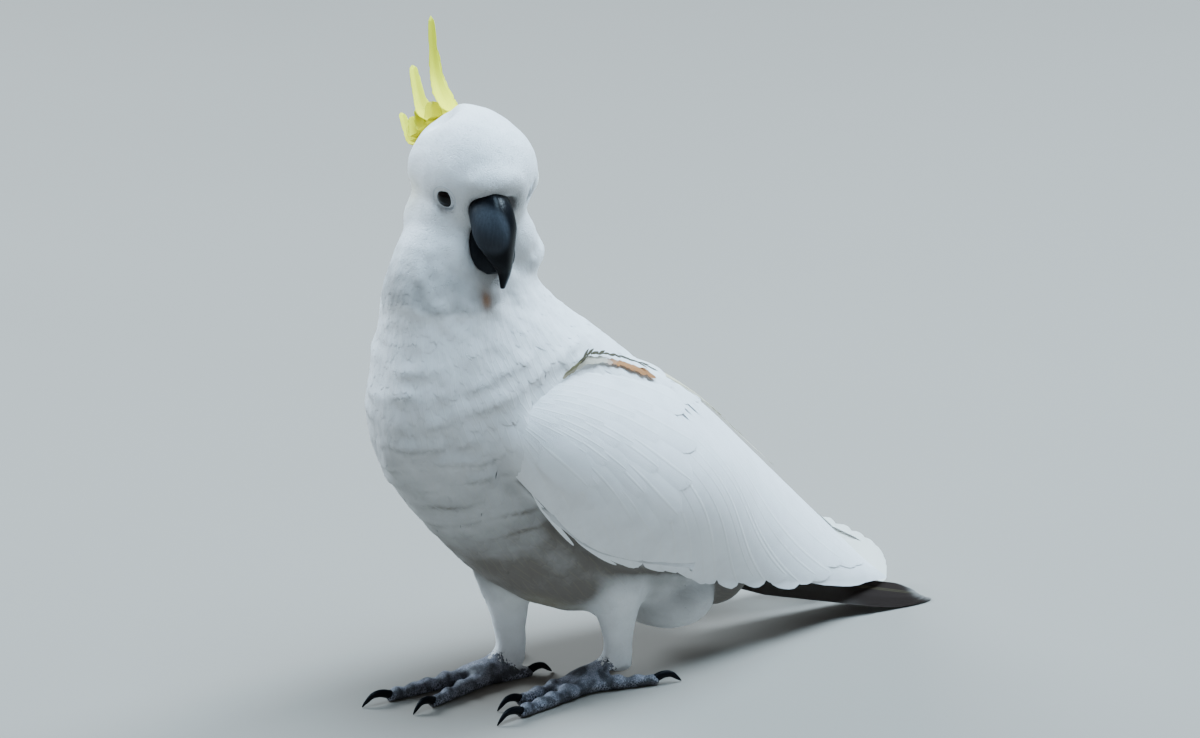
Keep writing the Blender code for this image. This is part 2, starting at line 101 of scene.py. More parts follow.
# Where the flank's plumage goes in under the lower edge of a folded wing.
FOLD = ((50, -66, 157), (54, -58, 148), (56, -51, 139), (53, -40, 127), (46, -24, 112), (45, -8, 98),
        (44, 8, 86), (42, 21, 78), (43, 36, 73), (41, 48, 70), (40, 61, 67), (37, 76, 61), (33, 90, 54))

# The right wing's tip feathers: their root, the way along them and the way across.
FAR_TIP = np.array(((-11, 195, 55.5), (-4, 84, -30), (17, 9, -25.5)), float)

TAIL_ROOT = np.array((0.0, 110.0, 46.0))
TAIL_LENGTH = 183.0
TAIL_HALF = (14.0, 21.0)
TAIL_ARCH = 12.0
TAIL_ANGLES = (math.radians(-9), math.radians(-14), math.radians(-4))  # about Z, X, Y
TAIL_FEATHERS = 12
TAIL_FLOOR = 1.3  # the tail's lowest height

# The coat in general, in millimetres where it isn't a share.
FLESH_GROWN = 0.45  # how far the flesh is swollen before it is joined
HEM_HEIGHT = 253  # the hood's lower edge in front
TRIES = 9.0  # random roots drawn for each square as wide as the feathers' spacing
TIP_ROUND, TIP_FRAY = 0.21, 0.05  # how much a short vane's tip is rounded and frayed
ROOT_DEPTH = 0.15  # how deep a short feather's root lies in the skin
VANE_THICK = 0.09  # thickness of a short vane's inner part at its tip
PATCH = 0.003  # size of a feather's patch on the unwrap
MARKS_KEPT = 0.15  # share of the body's markings that long feathers show

# The crest feathers on the right side, front to back: root, crown, bend and tip in the head's frame
# (left, back, up), and the greatest half width. The left side mirrors those that stand off the middle.
CREST = (
    (((-2, 12, 30), (-2, 40, 27), (-2, 62, 40), (-1.5, 72, 73.5)), 5.6, 0.50),
    (((1, 14, 29), (1, 42, 25), (1, 63, 35), (1, 71, 54)), 5.2, 0.50),
    (((-5, 16, 29), (-6, 40, 20), (-6, 53, 14), (-5.5, 59, 26)), 7.2, 0.85),
    (((-8, 20, 26), (-9, 46, 13), (-9, 60, 9), (-9, 69, 20)), 7.6, 0.80),
    (((-6, 20, 26), (-7, 46, 17), (-8, 70, 20), (-7, 90, 40)), 7.0, 0.52),
    (((-12, 22, 24), (-13, 50, 8), (-13, 62, 5), (-12.5, 70, 15)), 7.0, 0.80),
    (((-10, 22, 23), (-13, 46, 7), (-13.5, 66, 1), (-13, 78, 9)), 6.5, 0.60),
    (((-11, 24, 20), (-13, 48, 4), (-12.5, 74, -2), (-12.5, 95, 10.5)), 5.2, 0.60),
)
CREST_NODES = 6

BILL = {
    "upper": (((-24, -11.5), (-34, -12.5), (-42, -16.5), (-47, -25), (-48, -36), (-46, -47), (-43, -58)),
              (12.0, 12.6, 13.2, 12.6, 8.6, 4.4, 1.5), (11, 12, 11.5, 10.5, 8, 4.5, 1.0)),
    "lower": (((-20, -25), (-26, -32), (-32, -40), (-36, -46), (-38.5, -50)),
              (11, 13, 13, 11, 6), (10, 10.5, 9.5, 6.5, 2.5)),
}

# Feet: half the stride, the palm's place, and each toe's angle on the left and the right foot,
# its length without the claw, the claw's length, its shift to the outside and its radius.
FOOT_STEP, FOOT_SIDE, ANKLE_BACK, PALM_FORWARD = 21.0, 24.0, 15.0, 28.0
TOES = {
    "inner_front": ((1, -10), 45, 15, -5.5, 4.8),
    "outer_front": ((6, 5), 58, 17, 5.5, 5.0),
    "inner_back": ((203, 190), 32, 13, -5.0, 4.2),
    "outer_back": ((158, 158), 41, 14, 5.5, 4.5),
}
THIGH_PATH = ((29, -8, 82), (28, -5, 62), (26, -3, 40), (24, -2, 17))  # y from the ankle

low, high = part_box("eye_left")
TURN = np.array(Matrix.Rotation(HEAD_TURN, 3, "Z"))
SHIFT = (np.array(low) + np.array(high)) / 2 / MM - (HEAD_CENTRE + TURN @ EYE_PLACE)


# ---------------------------------------------------------------- shapes


def smooth(x, low=0.0, high=1.0):
    """0 below low, 1 above high and a soft S between them."""
    t = np.clip((np.asarray(x, float) - low) / (high - low), 0, 1)
    return t * t * (3 - 2 * t)


def normals_part(v, normals):
    """The share of vectors that runs along the normals."""
    return normals * (v * normals).sum(-1, keepdims=True)


def unit(v):
    """Vectors at length 1."""
    return v / np.maximum(np.linalg.norm(v, axis=-1, keepdims=True), 1e-9)


def bell(x, width):
    """1 at 0, falling to both sides like a bell curve."""
    return np.exp(-((x / width) ** 2))


def spot(points, centre, size):
    """A soft spot: 1 at its centre, falling like a bell curve by its size along each axis."""
    return np.exp(-(((points - np.array(centre)) / size) ** 2).sum(-1))


def circle(count):
    """Angles of points spaced evenly round a circle."""
    return np.linspace(0, 2 * math.pi, count, endpoint=False)


def rail(points, at):
    """A Catmull-Rom curve through points, read at shares of its length between 0 and 1."""
    p = np.asarray(points, float)
    p = p[:, None] if p.ndim == 1 else p
    ends = np.vstack([2 * p[0] - p[1], p, 2 * p[-1] - p[-2]])
    x = np.clip(at, 0, 1) * (len(p) - 1)
    i = np.minimum(x.astype(int), len(p) - 2)
    t = (x - i)[..., None]
    a, b, c, d = ends[i], ends[i + 1], ends[i + 2], ends[i + 3]
    found = 0.5 * (2 * b + (c - a) * t + (2 * a - 5 * b + 4 * c - d) * t**2 + (3 * b - a - 3 * c + d) * t**3)
    return found[..., 0] if found.shape[-1] == 1 else found


def ripple(points, size, seed):
    """Smooth noise about 0: the mean of twelve sine waves of about one wavelength, in all directions."""
    rng = np.random.default_rng(seed)
    wave = unit(rng.normal(size=(12, 3))) * (2 * math.pi / size) * rng.uniform(0.6, 1.5, (12, 1))
    return np.sin(points @ wave.T + rng.uniform(0, 6.28, 12)).mean(-1) * 2


def head_to_bird(points):
    """From the head's frame, which faces -Y, to the bird's."""
    return np.asarray(points, float) @ TURN.T + HEAD_CENTRE


def bird_to_head(points):
    """From the bird's frame to the head's."""
    return (points - HEAD_CENTRE) @ TURN


def to_model(points):
    """Points of the bird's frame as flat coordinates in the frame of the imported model."""
    return ((points + SHIFT) * MM).astype(np.float32).ravel()


def quads(grid):
    """Quads between neighbouring numbers of a grid."""
    return np.stack([grid[:-1, :-1], grid[1:, :-1], grid[1:, 1:], grid[:-1, 1:]], -1).reshape(-1, 4)


def ring_faces(rows, around):
    """Quads of rings of points, each of which closes on its own start."""
    grid = np.arange(rows * around).reshape(rows, around)
    return quads(np.hstack([grid, grid[:, :1]]))


def fetch(items, key, width, kind=np.float32):
    """One property of all of a mesh's items as an array."""
    found = np.empty(len(items) * width, kind)
    items.foreach_get(key, found)
    return found.reshape(-1, width) if width > 1 else found


def triangles(mesh, key="vertices"):
    """The vertices or the loops of a mesh's triangles."""
    mesh.calc_loop_triangles()
    return fetch(mesh.loop_triangles, key, 3, np.int32)


def corners_of(mesh):
    """The vertex of each loop of a mesh."""
    return fetch(mesh.loops, "vertex_index", 1, np.int32)


def new_object(name, data):
    """An object in the scene."""
    made = bpy.data.objects.new(name, data)
    bpy.context.scene.collection.objects.link(made)
    return made


def search_tree(points, numbers):
    """A tree that finds the nearest of the points with these numbers."""
    tree = KDTree(len(numbers))
    for i in numbers:
        tree.insert(points[i], i)
    tree.balance()
    return tree


def add_mesh(name, points, faces):
    """A smooth mesh object in the model's frame, from points in the bird's frame."""
    mesh = bpy.data.meshes.new(name)
    place = np.asarray(points, float).reshape(-1, 3)
    mesh.vertices.add(len(place))
    mesh.vertices.foreach_set("co", to_model(place))
    if isinstance(faces, np.ndarray):
        sides = np.full(len(faces), faces.shape[1])
        corners = faces.ravel()
    else:
        sides = np.array([len(f) for f in faces])
        corners = np.concatenate([np.asarray(f) for f in faces])
    mesh.loops.add(len(corners))
    mesh.loops.foreach_set("vertex_index", corners.astype(np.int32))
    mesh.polygons.add(len(sides))
    mesh.polygons.foreach_set("loop_start", (np.cumsum(sides) - sides).astype(np.int32))
    mesh.update(calc_edges=True)
    mesh.shade_smooth()
    return new_object(name, mesh)


def read(mesh):
    """A mesh's points in the bird's frame."""
    return fetch(mesh.vertices, "co", 3).astype(float) / MM - SHIFT


def read_normals(mesh):
    """The normals at a mesh's points."""
    return fetch(mesh.vertex_normals, "vector", 3).astype(float)


def set_points(mesh, points):
    """Moves a mesh's points to these places in the bird's frame."""
    mesh.vertices.foreach_set("co", to_model(points))
    mesh.update()


def set_map(mesh, name, of_points):
    """A UV map from one pair of numbers for each point."""
    layer = mesh.uv_layers.new(name=name)
    layer.uv.foreach_set("vector", np.asarray(of_points, np.float32)[corners_of(mesh)].ravel())


def set_marks(mesh, marks):
    """The colour attribute that materials read: grey, yellow, blush and each feather's own chance."""
    layer = mesh.attributes.new("marks", "FLOAT_COLOR", "POINT")
    layer.data.foreach_set("color", np.asarray(marks, np.float32).ravel())


def set_share(mesh, share):
    """Marks that hold one share for each point, which horn and eyes read."""
    set_marks(mesh, np.column_stack([share, 0 * share, 0 * share, np.ones_like(share)]))


def finish(piece, look, slot, *nodes):
    """Gives a piece its material and its body, and hides the CAD nodes it stands for. The slot is not used.
    """
    piece.data.materials.clear()
    piece.data.materials.append(look)
    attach(piece, "root")
    if nodes:
        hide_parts(*nodes)
    return piece


def loft(name, rings):
    """A closed surface through rings of points (rings, around, 3); each end closes on its middle."""
    count, around = rings.shape[:2]
    points = np.vstack([rings.reshape(-1, 3), rings[0].mean(0), rings[-1].mean(0)])
    body = ring_faces(count, around)
    first = np.arange(around)
    after = (first + 1) % around
    last = (count - 1) * around
    near = np.stack([np.full(around, count * around), first, after], 1)
    far = np.stack([np.full(around, count * around + 1), last + after, last + first], 1)
    made = add_mesh(name, points, [*body, *near, *far])
    outwards(made)
    return made


def outwards(piece):
    """Turns a closed surface's faces outwards, by the sign of the volume they enclose."""
    mesh = piece.data
    a, b, c = np.moveaxis(read(mesh)[triangles(mesh)], 1, 0)
    if np.einsum("ij,ij->i", a, np.cross(b, c)).sum() < 0:
        mesh.flip_normals()


def tube_rings(path, side, half_side, half_depth, around, power=1.0):
    """Superellipses square to a path; half_side lies along side, half_depth along the other way."""
    run = unit(np.gradient(path, axis=0))
    side = unit(np.broadcast_to(side, path.shape) - run * (run * side).sum(-1, keepdims=True))
    up = np.cross(side, run)
    t = circle(around)
    c, s = ((np.sign(v) * np.abs(v) ** power)[None, :, None] for v in (np.cos(t), np.sin(t)))
    return path[:, None] + (side * half_side[:, None])[:, None] * c + (up * half_depth[:, None])[:, None] * s


# ---------------------------------------------------------------- skin

# Masses of fluff on the head, in its frame: centre, then half-sizes.
HEAD_FLUFF = (
    ((0, -32, 3.0), (19, 13, 11.5)),  # forehead, over the bill
    ((-2.5, 10, 24.5), (13, 14, 13)),  # before the crest
    ((18, 4, -8), (22, 20, 19)),  # behind the left eye
    ((21, -2, -50), (20, 20, 17)),  # lower left cheek
    ((-19, 2, -27), (22, 22, 22)),  # right cheek
    ((-20, 6, 2), (17, 20, 20)),  # behind the right eye
)
# Where the head is drawn in: centre in its frame, reach and depth.
HEAD_HOLLOWS = (((20, -4, 30), 17, 3.0), ((29, -8, -26), 11, 4.5), ((-27, -6, -13), 8, 3.5),
                ((-17, 10, 31), 10, 7.0))
# The same on the body, in the bird's frame: the cuffs over the ankles and the fluff of the vent.
BODY_FLUFF = (
    ((25, 34.5, 22), (10.5, 10.5, 17.5)),
    ((-23.5, -7.5, 22), (10.5, 10.5, 17.5)),
    ((25, 33, 42), (13.0, 13.5, 18)),
    ((-24, -8.5, 42), (13.0, 13.5, 18)),
    ((16, 83, 38.5), (27, 29, 20)),
)
FLESH = ["head", "neck", "trunk", "wing_left_coverts", "wing_right_coverts"]
FLESH += [f"{part}_{side}" for side, _ in SIDES for part in ("thigh", "shank")]
FLESH += [f"toe_{side}_{toe}" for side, _ in SIDES for toe in TOES]


def wing_line(u, side):
    """The ends of a line across a folded wing, on its upper and its lower rail, at share u."""
    share = np.clip(u, 0, 1)[..., None] ** 9
    rails = zip((WING_UPPER, WING_LOWER), WING_CARRIED[side])
    return [rail(points, u) + share * carried for points, carried in rails]


def with_slopes(place, u, q, step):
    """Points place(u, q) of a surface, both slopes from neighbours one step away, and normals."""
    u, q = np.broadcast_arrays(np.asarray(u, float), np.asarray(q, float))
    du = (place(u + step, q) - place(u - step, q)) / 2 / step
    dq = (place(u, q + step) - place(u, q - step)) / 2 / step
    return place(u, q), du, dq, unit(np.cross(dq, du))


def wing_surface(u, q, side):
    """The folded wing's outer face: the line from the upper to the lower rail at share u of the
    wing's length, read at share q, plus a swelling outwards of 4q(1-q). Above the upper rail it
    curls in over the back along a parabola. Gives points, both slopes and outward normals."""
    step = 0.004

    def place(u, q):
        upper, lower = wing_line(u, side)
        after, before = np.clip(u + step, step, 1), np.clip(u - step, 0, 1 - step)
        a, b = wing_line(after, side)
        c, d = wing_line(before, side)
        out = unit(np.cross(a + b - c - d, upper - lower))
        over = (u - np.clip(u, 0, 1))[..., None] * (a + b - c - d) / 2 / (after - before)[..., None]
        inner = np.clip(q, 0, None)
        hump = 4 * inner * (1 - inner)
        hump = np.where(hump > 0, hump, 0.6 * hump)
        swell = (rail(WING_SWELL, u) * hump)[..., None]
        sheet = upper + (lower - upper) * inner[..., None] + out * swell + over
        curl = np.maximum(-q, 0)[..., None] * np.linalg.norm(upper - lower, axis=-1, keepdims=True)
        rise = unit(upper - lower) * (0.7 * curl - 0.04 * curl**2)
        return sheet + rise - out * (0.7 * curl + 0.01 * curl**2)

    return tuple(v * np.array((side, 1, 1)) for v in with_slopes(place, u, q, step))


def thigh_line(side, share):
    """The middle of a thigh, from the belly to the ankle."""
    path = np.array(THIGH_PATH, float)
    path[:, 1] += ANKLE_BACK + FOOT_STEP * side
    return rail(path, share) * (side, 1, 1)


def near_line(points, line):
    """For each point the distance to a line of points, and where on it the nearest one is."""
    found = []
    for part in np.array_split(points, len(points) // 20000 + 1):
        gap = (part**2).sum(1)[:, None] - 2 * part @ line.T + (line**2).sum(1)
        at = gap.argmin(1)
        found.append((np.sqrt(np.maximum(gap[np.arange(len(part)), at], 0)), at))
    return np.concatenate([gap for gap, _ in found]), np.concatenate([at for _, at in found])


def hem(points):
    """How far above the hood's scalloped lower edge points are, and a mask of the front."""
    x, y, z = points.T
    turn = np.arctan2(x, -y - 50)
    edge = HEM_HEIGHT + 2.0 * np.sin(5.3 * turn + 1) + 1.2 * np.sin(11 * turn) + 14 * smooth(y, -75, 0)
    return z - edge, 1 - smooth(y, -60, -20)


def fold(points, reach):
    """1 in the fold where the flank's plumage goes in under a wing."""
    line = rail(FOLD, np.linspace(0, 1, 90))
    gap, at = near_line(points, np.vstack([line * (side, 1, 1) for _, side in SIDES]))
    return bell(gap, reach) * smooth(at % 90, 0, 6) * smooth(89 - at % 90, 0, 10)


def scallops(points):
    """Clumps of breast feathers: bands across the breast whose lower edges are rows of shallow
    arcs, set like tiles. Gives a height that grows towards each edge and drops behind it, and a
    mask of the hollows under the edges, where the markings paint shade."""
    x, y, z = points.T
    band, drop = 15.0, 3.2  # a band's width and how steeply it ends
    down = 0.3 * y - z + 2.6 * ripple(points, 46, 31) + 1000
    number = np.floor(down / band)
    turn = np.arctan2(x, 25 - y)
    edge = 8.6 + 3.0 * np.abs(np.cos(6.4 * turn + 1.9 * number))
    at = down - number * band - edge
    height = np.where(at < 0, smooth(at / edge, -1, 0.1), 1 - smooth(at, 0, drop))
    where = smooth(z, 92, 125) * smooth(246 - z, 0, 22) * (1 - smooth(y, -25, 25))
    where = where * (0.55 + 0.9 * ripple(points, 30, 32)).clip(0, 1.3)
    return height * where, bell(at - 1.2, 1.5) * where


def coat_depth(points):
    """How deep the coat is, in millimetres: nothing on the feet, most on the wings and the trunk."""
    z = points[:, 2]
    depth = 0.7 + 1.0 * smooth(290 - z, 0, 60)
    share, where = wing_share(points, 9.0)
    depth = np.maximum(depth, 3.6 * share * smooth(where[:, 0], 0.0, 0.09) * smooth(where[:, 1], 0.0, 0.12))
    depth += 2.2 * fold(points, 3.5)
    over, front = hem(points)
    depth -= 1.1 * smooth(over, -4, 4) * (1 - smooth(over, 6, 30)) * front
    depth -= 1.25 * scallops(points)[0] * (1 - share)
    lumps = ripple(points, 17, 21) * smooth(255 - z, 0, 30) * 0.6
    lumps = lumps + ripple(points, 12, 22) * smooth(z, 230, 250) * (0.25 + 0.55 * smooth(300 - z, 0, 20))
    return (depth - lumps * (1 - share)) * smooth(z, 9, 16)


def wing_share(points, reach):
    """1 on the outer face of a wing and 0 further than reach from it, and the nearest (u, q)."""
    share = np.zeros(len(points))
    where = np.zeros((len(points), 2))
    u, q = np.meshgrid(np.linspace(0.0, 1, 90), np.linspace(0.03, 0.97, 40), indexing="ij")
    for _, side in SIDES:
        sheet = wing_surface(u, q, side)[0].reshape(-1, 3)
        tree = search_tree(sheet, range(len(sheet)))
        near = np.where(points[:, 0] * side > -5)[0]
        found = np.array([tree.find(points[i])[1:] for i in near])
        here = 1 - smooth(found[:, 1], reach * 0.7, reach)
        better = here > share[near]
        share[near[better]] = here[better]
        at = found[better, 0].astype(int)
        where[near[better]] = np.stack([u.ravel()[at], q.ravel()[at]], 1)
    return share, where


def toe_joints(points):
    """The swellings of the toes: a wave along each toe, from the palm outwards."""
    away = np.full(len(points), 1e3)
    for _, side in SIDES:
        away = np.minimum(away, np.linalg.norm((points - palm(side))[:, :2], axis=1))
    wave = 0.7 * np.cos(2 * math.pi * (away - 20) / 11.5) - 0.2
    return wave * smooth(away, 12, 18) * (1 - smooth(points[:, 2], 9, 13)) * smooth(points[:, 2], 1.5, 4)


def relax(points, edges, weight, rounds):
    """Each round moves every point towards the mean of its neighbours by its own weight."""
    count = len(points)
    i, j = edges.T
    degree = np.maximum(np.bincount(i, minlength=count) + np.bincount(j, minlength=count), 1)
    for _ in range(rounds):
        total = [np.bincount(i, points[j, k], count) + np.bincount(j, points[i, k], count) for k in range(3)]
        points = points + weight[:, None] * (np.stack(total, 1) / degree[:, None] - points)
    return points


def swollen_flesh(grow):
    """Merged copies of the flesh, each swollen by grow so that neighbours join, as one object."""
    points, faces, start = [], [], 0
    rows, around = 24, 40
    v, t = np.linspace(0.02, math.pi - 0.02, rows)[:, None], circle(around)
    ball = np.stack([np.sin(v) * np.cos(t), np.sin(v) * np.sin(t), np.cos(v) + 0 * t], -1).reshape(-1, 3)
    sides = ring_faces(rows, around)
    sides = np.vstack([sides[:, :3], sides[:, [0, 2, 3]]])[:, ::-1]
    fluff = [head_to_bird(ball * half + centre) for centre, half in HEAD_FLUFF]
    fluff += [ball * half + centre for centre, half in BODY_FLUFF]
    for mass in fluff:
        points.append(mass)
        faces.append(sides + start)
        start += len(mass)
    for name in FLESH:
        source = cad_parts[name].data
        corner = triangles(source).ravel()
        place = read(source)
        _, first, same = np.unique(np.round(place, 3), axis=0, return_index=True, return_inverse=True)
        place = place[first]
        tris = same.ravel()[corner].reshape(-1, 3)
        tris = tris[(tris[:, 0] != tris[:, 1]) & (tris[:, 1] != tris[:, 2]) & (tris[:, 2] != tris[:, 0])]
        a, b, c = place[tris[:, 0]], place[tris[:, 1]], place[tris[:, 2]]
        square = np.cross(b - a, c - a)
        normal = np.zeros_like(place)
        for k in range(3):
            np.add.at(normal, tris[:, k], square)
        points.append(place + unit(normal) * grow)
        faces.append(tris + start)
        start += len(place)
    return add_mesh("flesh", np.vstack(points), np.vstack(faces))


def applied(piece):
    """The mesh of a piece with its modifiers applied."""
    bpy.context.view_layer.update()
    return bpy.data.meshes.new_from_object(piece.evaluated_get(bpy.context.evaluated_depsgraph_get()))


def make_skin(voxel):
    """One skin round all the flesh: a voxel remesh of its swollen parts, smoothed most where parts
    meet, then drawn in by the coat's depth."""
    flesh = swollen_flesh(FLESH_GROWN)
    remesh = flesh.modifiers.new("one_skin", "REMESH")
    remesh.mode = "VOXEL"
    remesh.voxel_size = voxel * MM
    mesh = applied(flesh)
    bpy.data.objects.remove(flesh)
    mesh.name = "skin"
    skin = new_object("skin", mesh)
    points = read(mesh)
    edges = fetch(mesh.edges, "vertices", 2, np.int32)
    z = points[:, 2]
    cheek = bell(z - 240, 16)
    rump = smooth(z, 60, 90) * smooth(points[:, 1], 50, 80)
    leg = bell(z - 78, 16) * smooth(55 - np.abs(points[:, 1] - 15), 0, 10)
    brow = bell(np.linalg.norm(bird_to_head(points) - (0, -38, 6), axis=1), 15)
    weight = 0.12 * brow + 0.10 - 0.05 * smooth(z, 255, 275) + 0.16 * cheek + 0.3 * rump + 0.4 * leg
    weight = np.clip(weight, 0, 0.55)
    points = relax(points, edges, weight * smooth(z, 12, 24) + 0.02, 80)
    set_points(mesh, points)
    head = bird_to_head(points)
    swell = 1.2 * smooth(z, 235, 265)
    for centre, reach, depth in HEAD_HOLLOWS:
        swell = swell - depth * bell(np.linalg.norm(head - centre, axis=1), reach)
    points = points + read_normals(mesh) * swell[:, None]
    points = points - read_normals(mesh) * (coat_depth(points) + FLESH_GROWN)[:, None]
    points = relax(points, edges, 0.3 * smooth(z, 12, 24), 6)
    set_points(mesh, points)
    points = points + read_normals(mesh) * toe_joints(points)[:, None]
    points[:, 2] = np.maximum(points[:, 2], -SHIFT[2] + 0.02)
    set_points(mesh, points)
    mesh.shade_smooth()
    return skin


def unwrap(skin):
    """Lays the skin out flat, cut where it turns sharply, in the map that the feathers share."""
    mesh = skin.data
    mesh.uv_layers.new(name="OFBake")
    for other in bpy.context.selected_objects:
        other.select_set(False)
    bpy.context.view_layer.objects.active = skin
    skin.select_set(True)
    bpy.ops.object.mode_set(mode="EDIT")
    bpy.ops.mesh.select_all(action="SELECT")
    bpy.ops.uv.smart_project(angle_limit=math.radians(66), island_margin=0.004, scale_to_bounds=False)
    bpy.ops.object.mode_set(mode="OBJECT")
    skin.select_set(False)


# ---------------------------------------------------------------- markings


def markings(points):
    """Grey, yellow and blush at each point, as smooth spots and gradients in the bird's frame.

    Grey is mostly painted shade: down the belly and under the tail, on the bib under the hood, in
    the fold under each wing, in the hollows under the breast's scallops, and beside and over the
    bill. Yellow tints the ear and the crest's bed, and blush is a crease of soiled feathers under
    the bill and the ochre down of the parting."""
    x, y, z = points.T
    head = bird_to_head(points)
    # Painted shade: grey that darkens the lower breast and the belly, less on the flanks.
    belly = 0.60 * smooth(232 - z, 0, 100) + 0.62 * smooth(142 - z, 0, 78)
    belly = belly * smooth(25 - y - 0.2 * (z - 120), -50, 60) * (1 - 0.62 * smooth(np.abs(x), 46, 58))
    # Painted shade low on the body behind the legs and under the tail.
    under = smooth(95 - z, 0, 45) * smooth(y, -10, 60) * smooth(60 - 0.25 * (y - 100) - z, 0, 12)
    over, front = hem(points)
    # Painted shade: grey on the bib, the hood's lower part just above its edge.
    bib = smooth(296 - z, 0, 30) * smooth(over, 0, 4) * front * (0.9 + 0.25 * ripple(points, 14, 12))
    line = np.vstack([thigh_line(side, np.linspace(0.15, 1, 24)) for _, side in SIDES])
    on_leg = smooth(26 - near_line(points, line)[0], 0, 15) * smooth(86 - z, 0, 30)
    grey = (belly + 0.9 * under * smooth(y, 95, 115) + 0.3 * under) * (1 - on_leg)
    flank = smooth(50 - np.abs(x), 0, 6)
    # Painted shadow in the fold under each wing's lower edge: a thin dark line, and a broader band on the
    # flank beside it.
    grey = grey + 0.62 * bib + 0.85 * fold(points, 2.2) + 0.45 * fold(points, 9) * flank
    # Painted shade in the hollows under the edges of the breast's scallops.
    grey = grey + 0.28 * scallops(points)[1] * smooth(58 - np.abs(x), 0, 10)
    grey = grey * (0.92 + 0.14 * ripple(points, 45, 3)) + 0.05 * ripple(points, 16, 4)
    # Painted shade: brownish grey beside the bill, and under the forehead where it overhangs the bill.
    lore = spot(np.column_stack([np.abs(head[:, 0]), head[:, 1:]]), (13, -36, -12), (4, 6, 9))
    grey = grey + 0.5 * lore + 0.5 * spot(head, (0, -45, -5), (14, 6, 5.5))
    slit = wing_surface(*(rail(SLIT, np.linspace(0.1, 1, 60)) + (0, 0.012)).T, 1)[0]
    ochre = 0.35 * np.exp(-((near_line(points, slit)[0] / 1.9) ** 4))
    ear = spot(head[:, 1:], (4, -10), (11, 10)) * smooth(np.abs(head[:, 0]), 15, 30)
    bed = spot(head[:, :2], (0, 26), (9, 9)) * smooth(head[:, 2], 12, 24)
    leg = bell(z - 62, 16) * smooth(26 - np.abs(x), 0, 14) * smooth(75 - z, 0, 10)
    yellow = 0.30 * ear + 0.9 * bed + 0.12 * leg * smooth(y, -40, 0)
    crease = bell(np.hypot(head[:, 0] + 7, (head[:, 2] + 65) * 0.6), 3.2) * smooth(-head[:, 1], 12, 22)
    grey = grey + 0.5 * crease
    blush = np.maximum(0.55 * crease, ochre)
    return np.clip(np.stack([grey, yellow, blush], 1), 0, 1)


# ---------------------------------------------------------------- feathers on the skin


def plumage(points, normals):
    """The lie of the coat: at each point the way its feathers point, how far apart they stand,
    their length, half width and lift, then three shares: of the head, along the body and of the
    leg. Feathers run away from the bill over the head, then along the body's middle line to the
    tail, and down the legs."""
    head = bird_to_head(points)
    from_bill = unit(head - np.array((0, -40, -16)))
    back = np.array((0, 0.45, -0.9))
    turned = smooth(head[:, 1], -22, 22)[:, None]
    over_head = (from_bill * (1 - 0.75 * turned) + back * turned) @ TURN.T
    steps = 160
    middle = np.zeros((steps, 3))
    middle[:, 1:] = rail(SPINE, np.linspace(0, 1, steps))
    flat = points * (0, 1, 1)
    _, where = near_line(flat, middle)
    along = unit(np.gradient(middle, axis=0))[where]
    share = where / (steps - 1)
    on_head = smooth(points[:, 2], 262, 296)
    way = over_head * on_head[:, None] + along * (1 - on_head[:, None])
    leg = np.zeros(len(points))
    for _, side in SIDES:
        line = thigh_line(side, np.linspace(0.25, 1, 30))
        gap, _ = near_line(points, line)
        leg = np.maximum(leg, smooth(24 - gap, 0, 8) * smooth(74 - points[:, 2], 0, 14))
    down = np.array((0, 0.12, -1))
    way = way * (1 - leg[:, None]) + down * leg[:, None]
    way = unit(way - normals_part(way, normals))
    bend = 0.13 * ripple(points, 38, 11)
    way = unit(way + np.cross(normals, way) * bend[:, None])
    face = smooth(-head[:, 1], 8, 30) * on_head
    space = 1.75 - 0.35 * face
    space = space + 1.0 * smooth(296 - points[:, 2], 0, 36) + 2.6 * smooth(share, 0.14, 0.36)
    vent = smooth(80 - points[:, 2], 0, 15) * smooth(points[:, 1], 38, 55)
    space = space * (1 - vent) + 2.4 * vent
    space = space * (1 - leg) + 1.9 * leg
    length = space * (3.8 + 0.6 * smooth(share, 0.3, 0.9))
    lift = np.full(len(points), 0.05)
    return way, space, length, space * 1.3, lift, on_head, share, leg


def scatter(skin, spacing, keep, seed):
    """Roots on the skin, no closer than spacing(points): random points in random order, each of
    which clears its own surroundings. Returns their places, normals and places on the unwrap."""
    rng = np.random.default_rng(seed)
    mesh = skin.data
    vertex, corner = triangles(mesh), triangles(mesh, "loops")
    points, normals = read(mesh), read_normals(mesh)
    flat = fetch(mesh.uv_layers["OFBake"].uv, "vector", 2)
    a, b, c = (points[vertex[:, k]] for k in range(3))
    middle = (a + b + c) / 3
    area = np.linalg.norm(np.cross(b - a, c - a), axis=1) / 2
    density = np.where(keep(middle), area / spacing(middle) ** 2, 0)
    total = int(density.sum() * TRIES)
    chosen = rng.choice(len(vertex), total, p=density / density.sum())
    r = rng.random((total, 2))
    r = np.where(r.sum(1, keepdims=True) > 1, 1 - r, r)
    share = np.stack([1 - r.sum(1), r[:, 0], r[:, 1]], 1)[:, :, None]
    place = (points[vertex[chosen]] * share).sum(1)
    normal = unit((normals[vertex[chosen]] * share).sum(1))
    on_map = (flat[corner[chosen]] * share).sum(1)
    room = spacing(place)
    tree = search_tree(place, range(total))
    free = np.ones(total, bool)
    kept = []
    for i in range(total):
        if free[i]:
            kept.append(i)
            free[[j for _, j, _ in tree.find_range(place[i], room[i])]] = False
    return place[kept], normal[kept], on_map[kept]


def on_skin(skin, points, above):
    """The nearest places on the skin, raised by above along its smooth normal."""
    mesh = bpy.data.meshes.new("probe")
    mesh.vertices.add(len(points))
    mesh.vertices.foreach_set("co", to_model(points))
    probe = new_object("probe", mesh)
    wrap = probe.modifiers.new("wrap", "SHRINKWRAP")
    wrap.target = skin
    wrap.wrap_mode = "ABOVE_SURFACE"
    wrap.offset = above * MM
    found = applied(probe)
    place = read(found)
    bpy.data.objects.remove(probe)
    bpy.data.meshes.remove(mesh)
    bpy.data.meshes.remove(found)
    return place


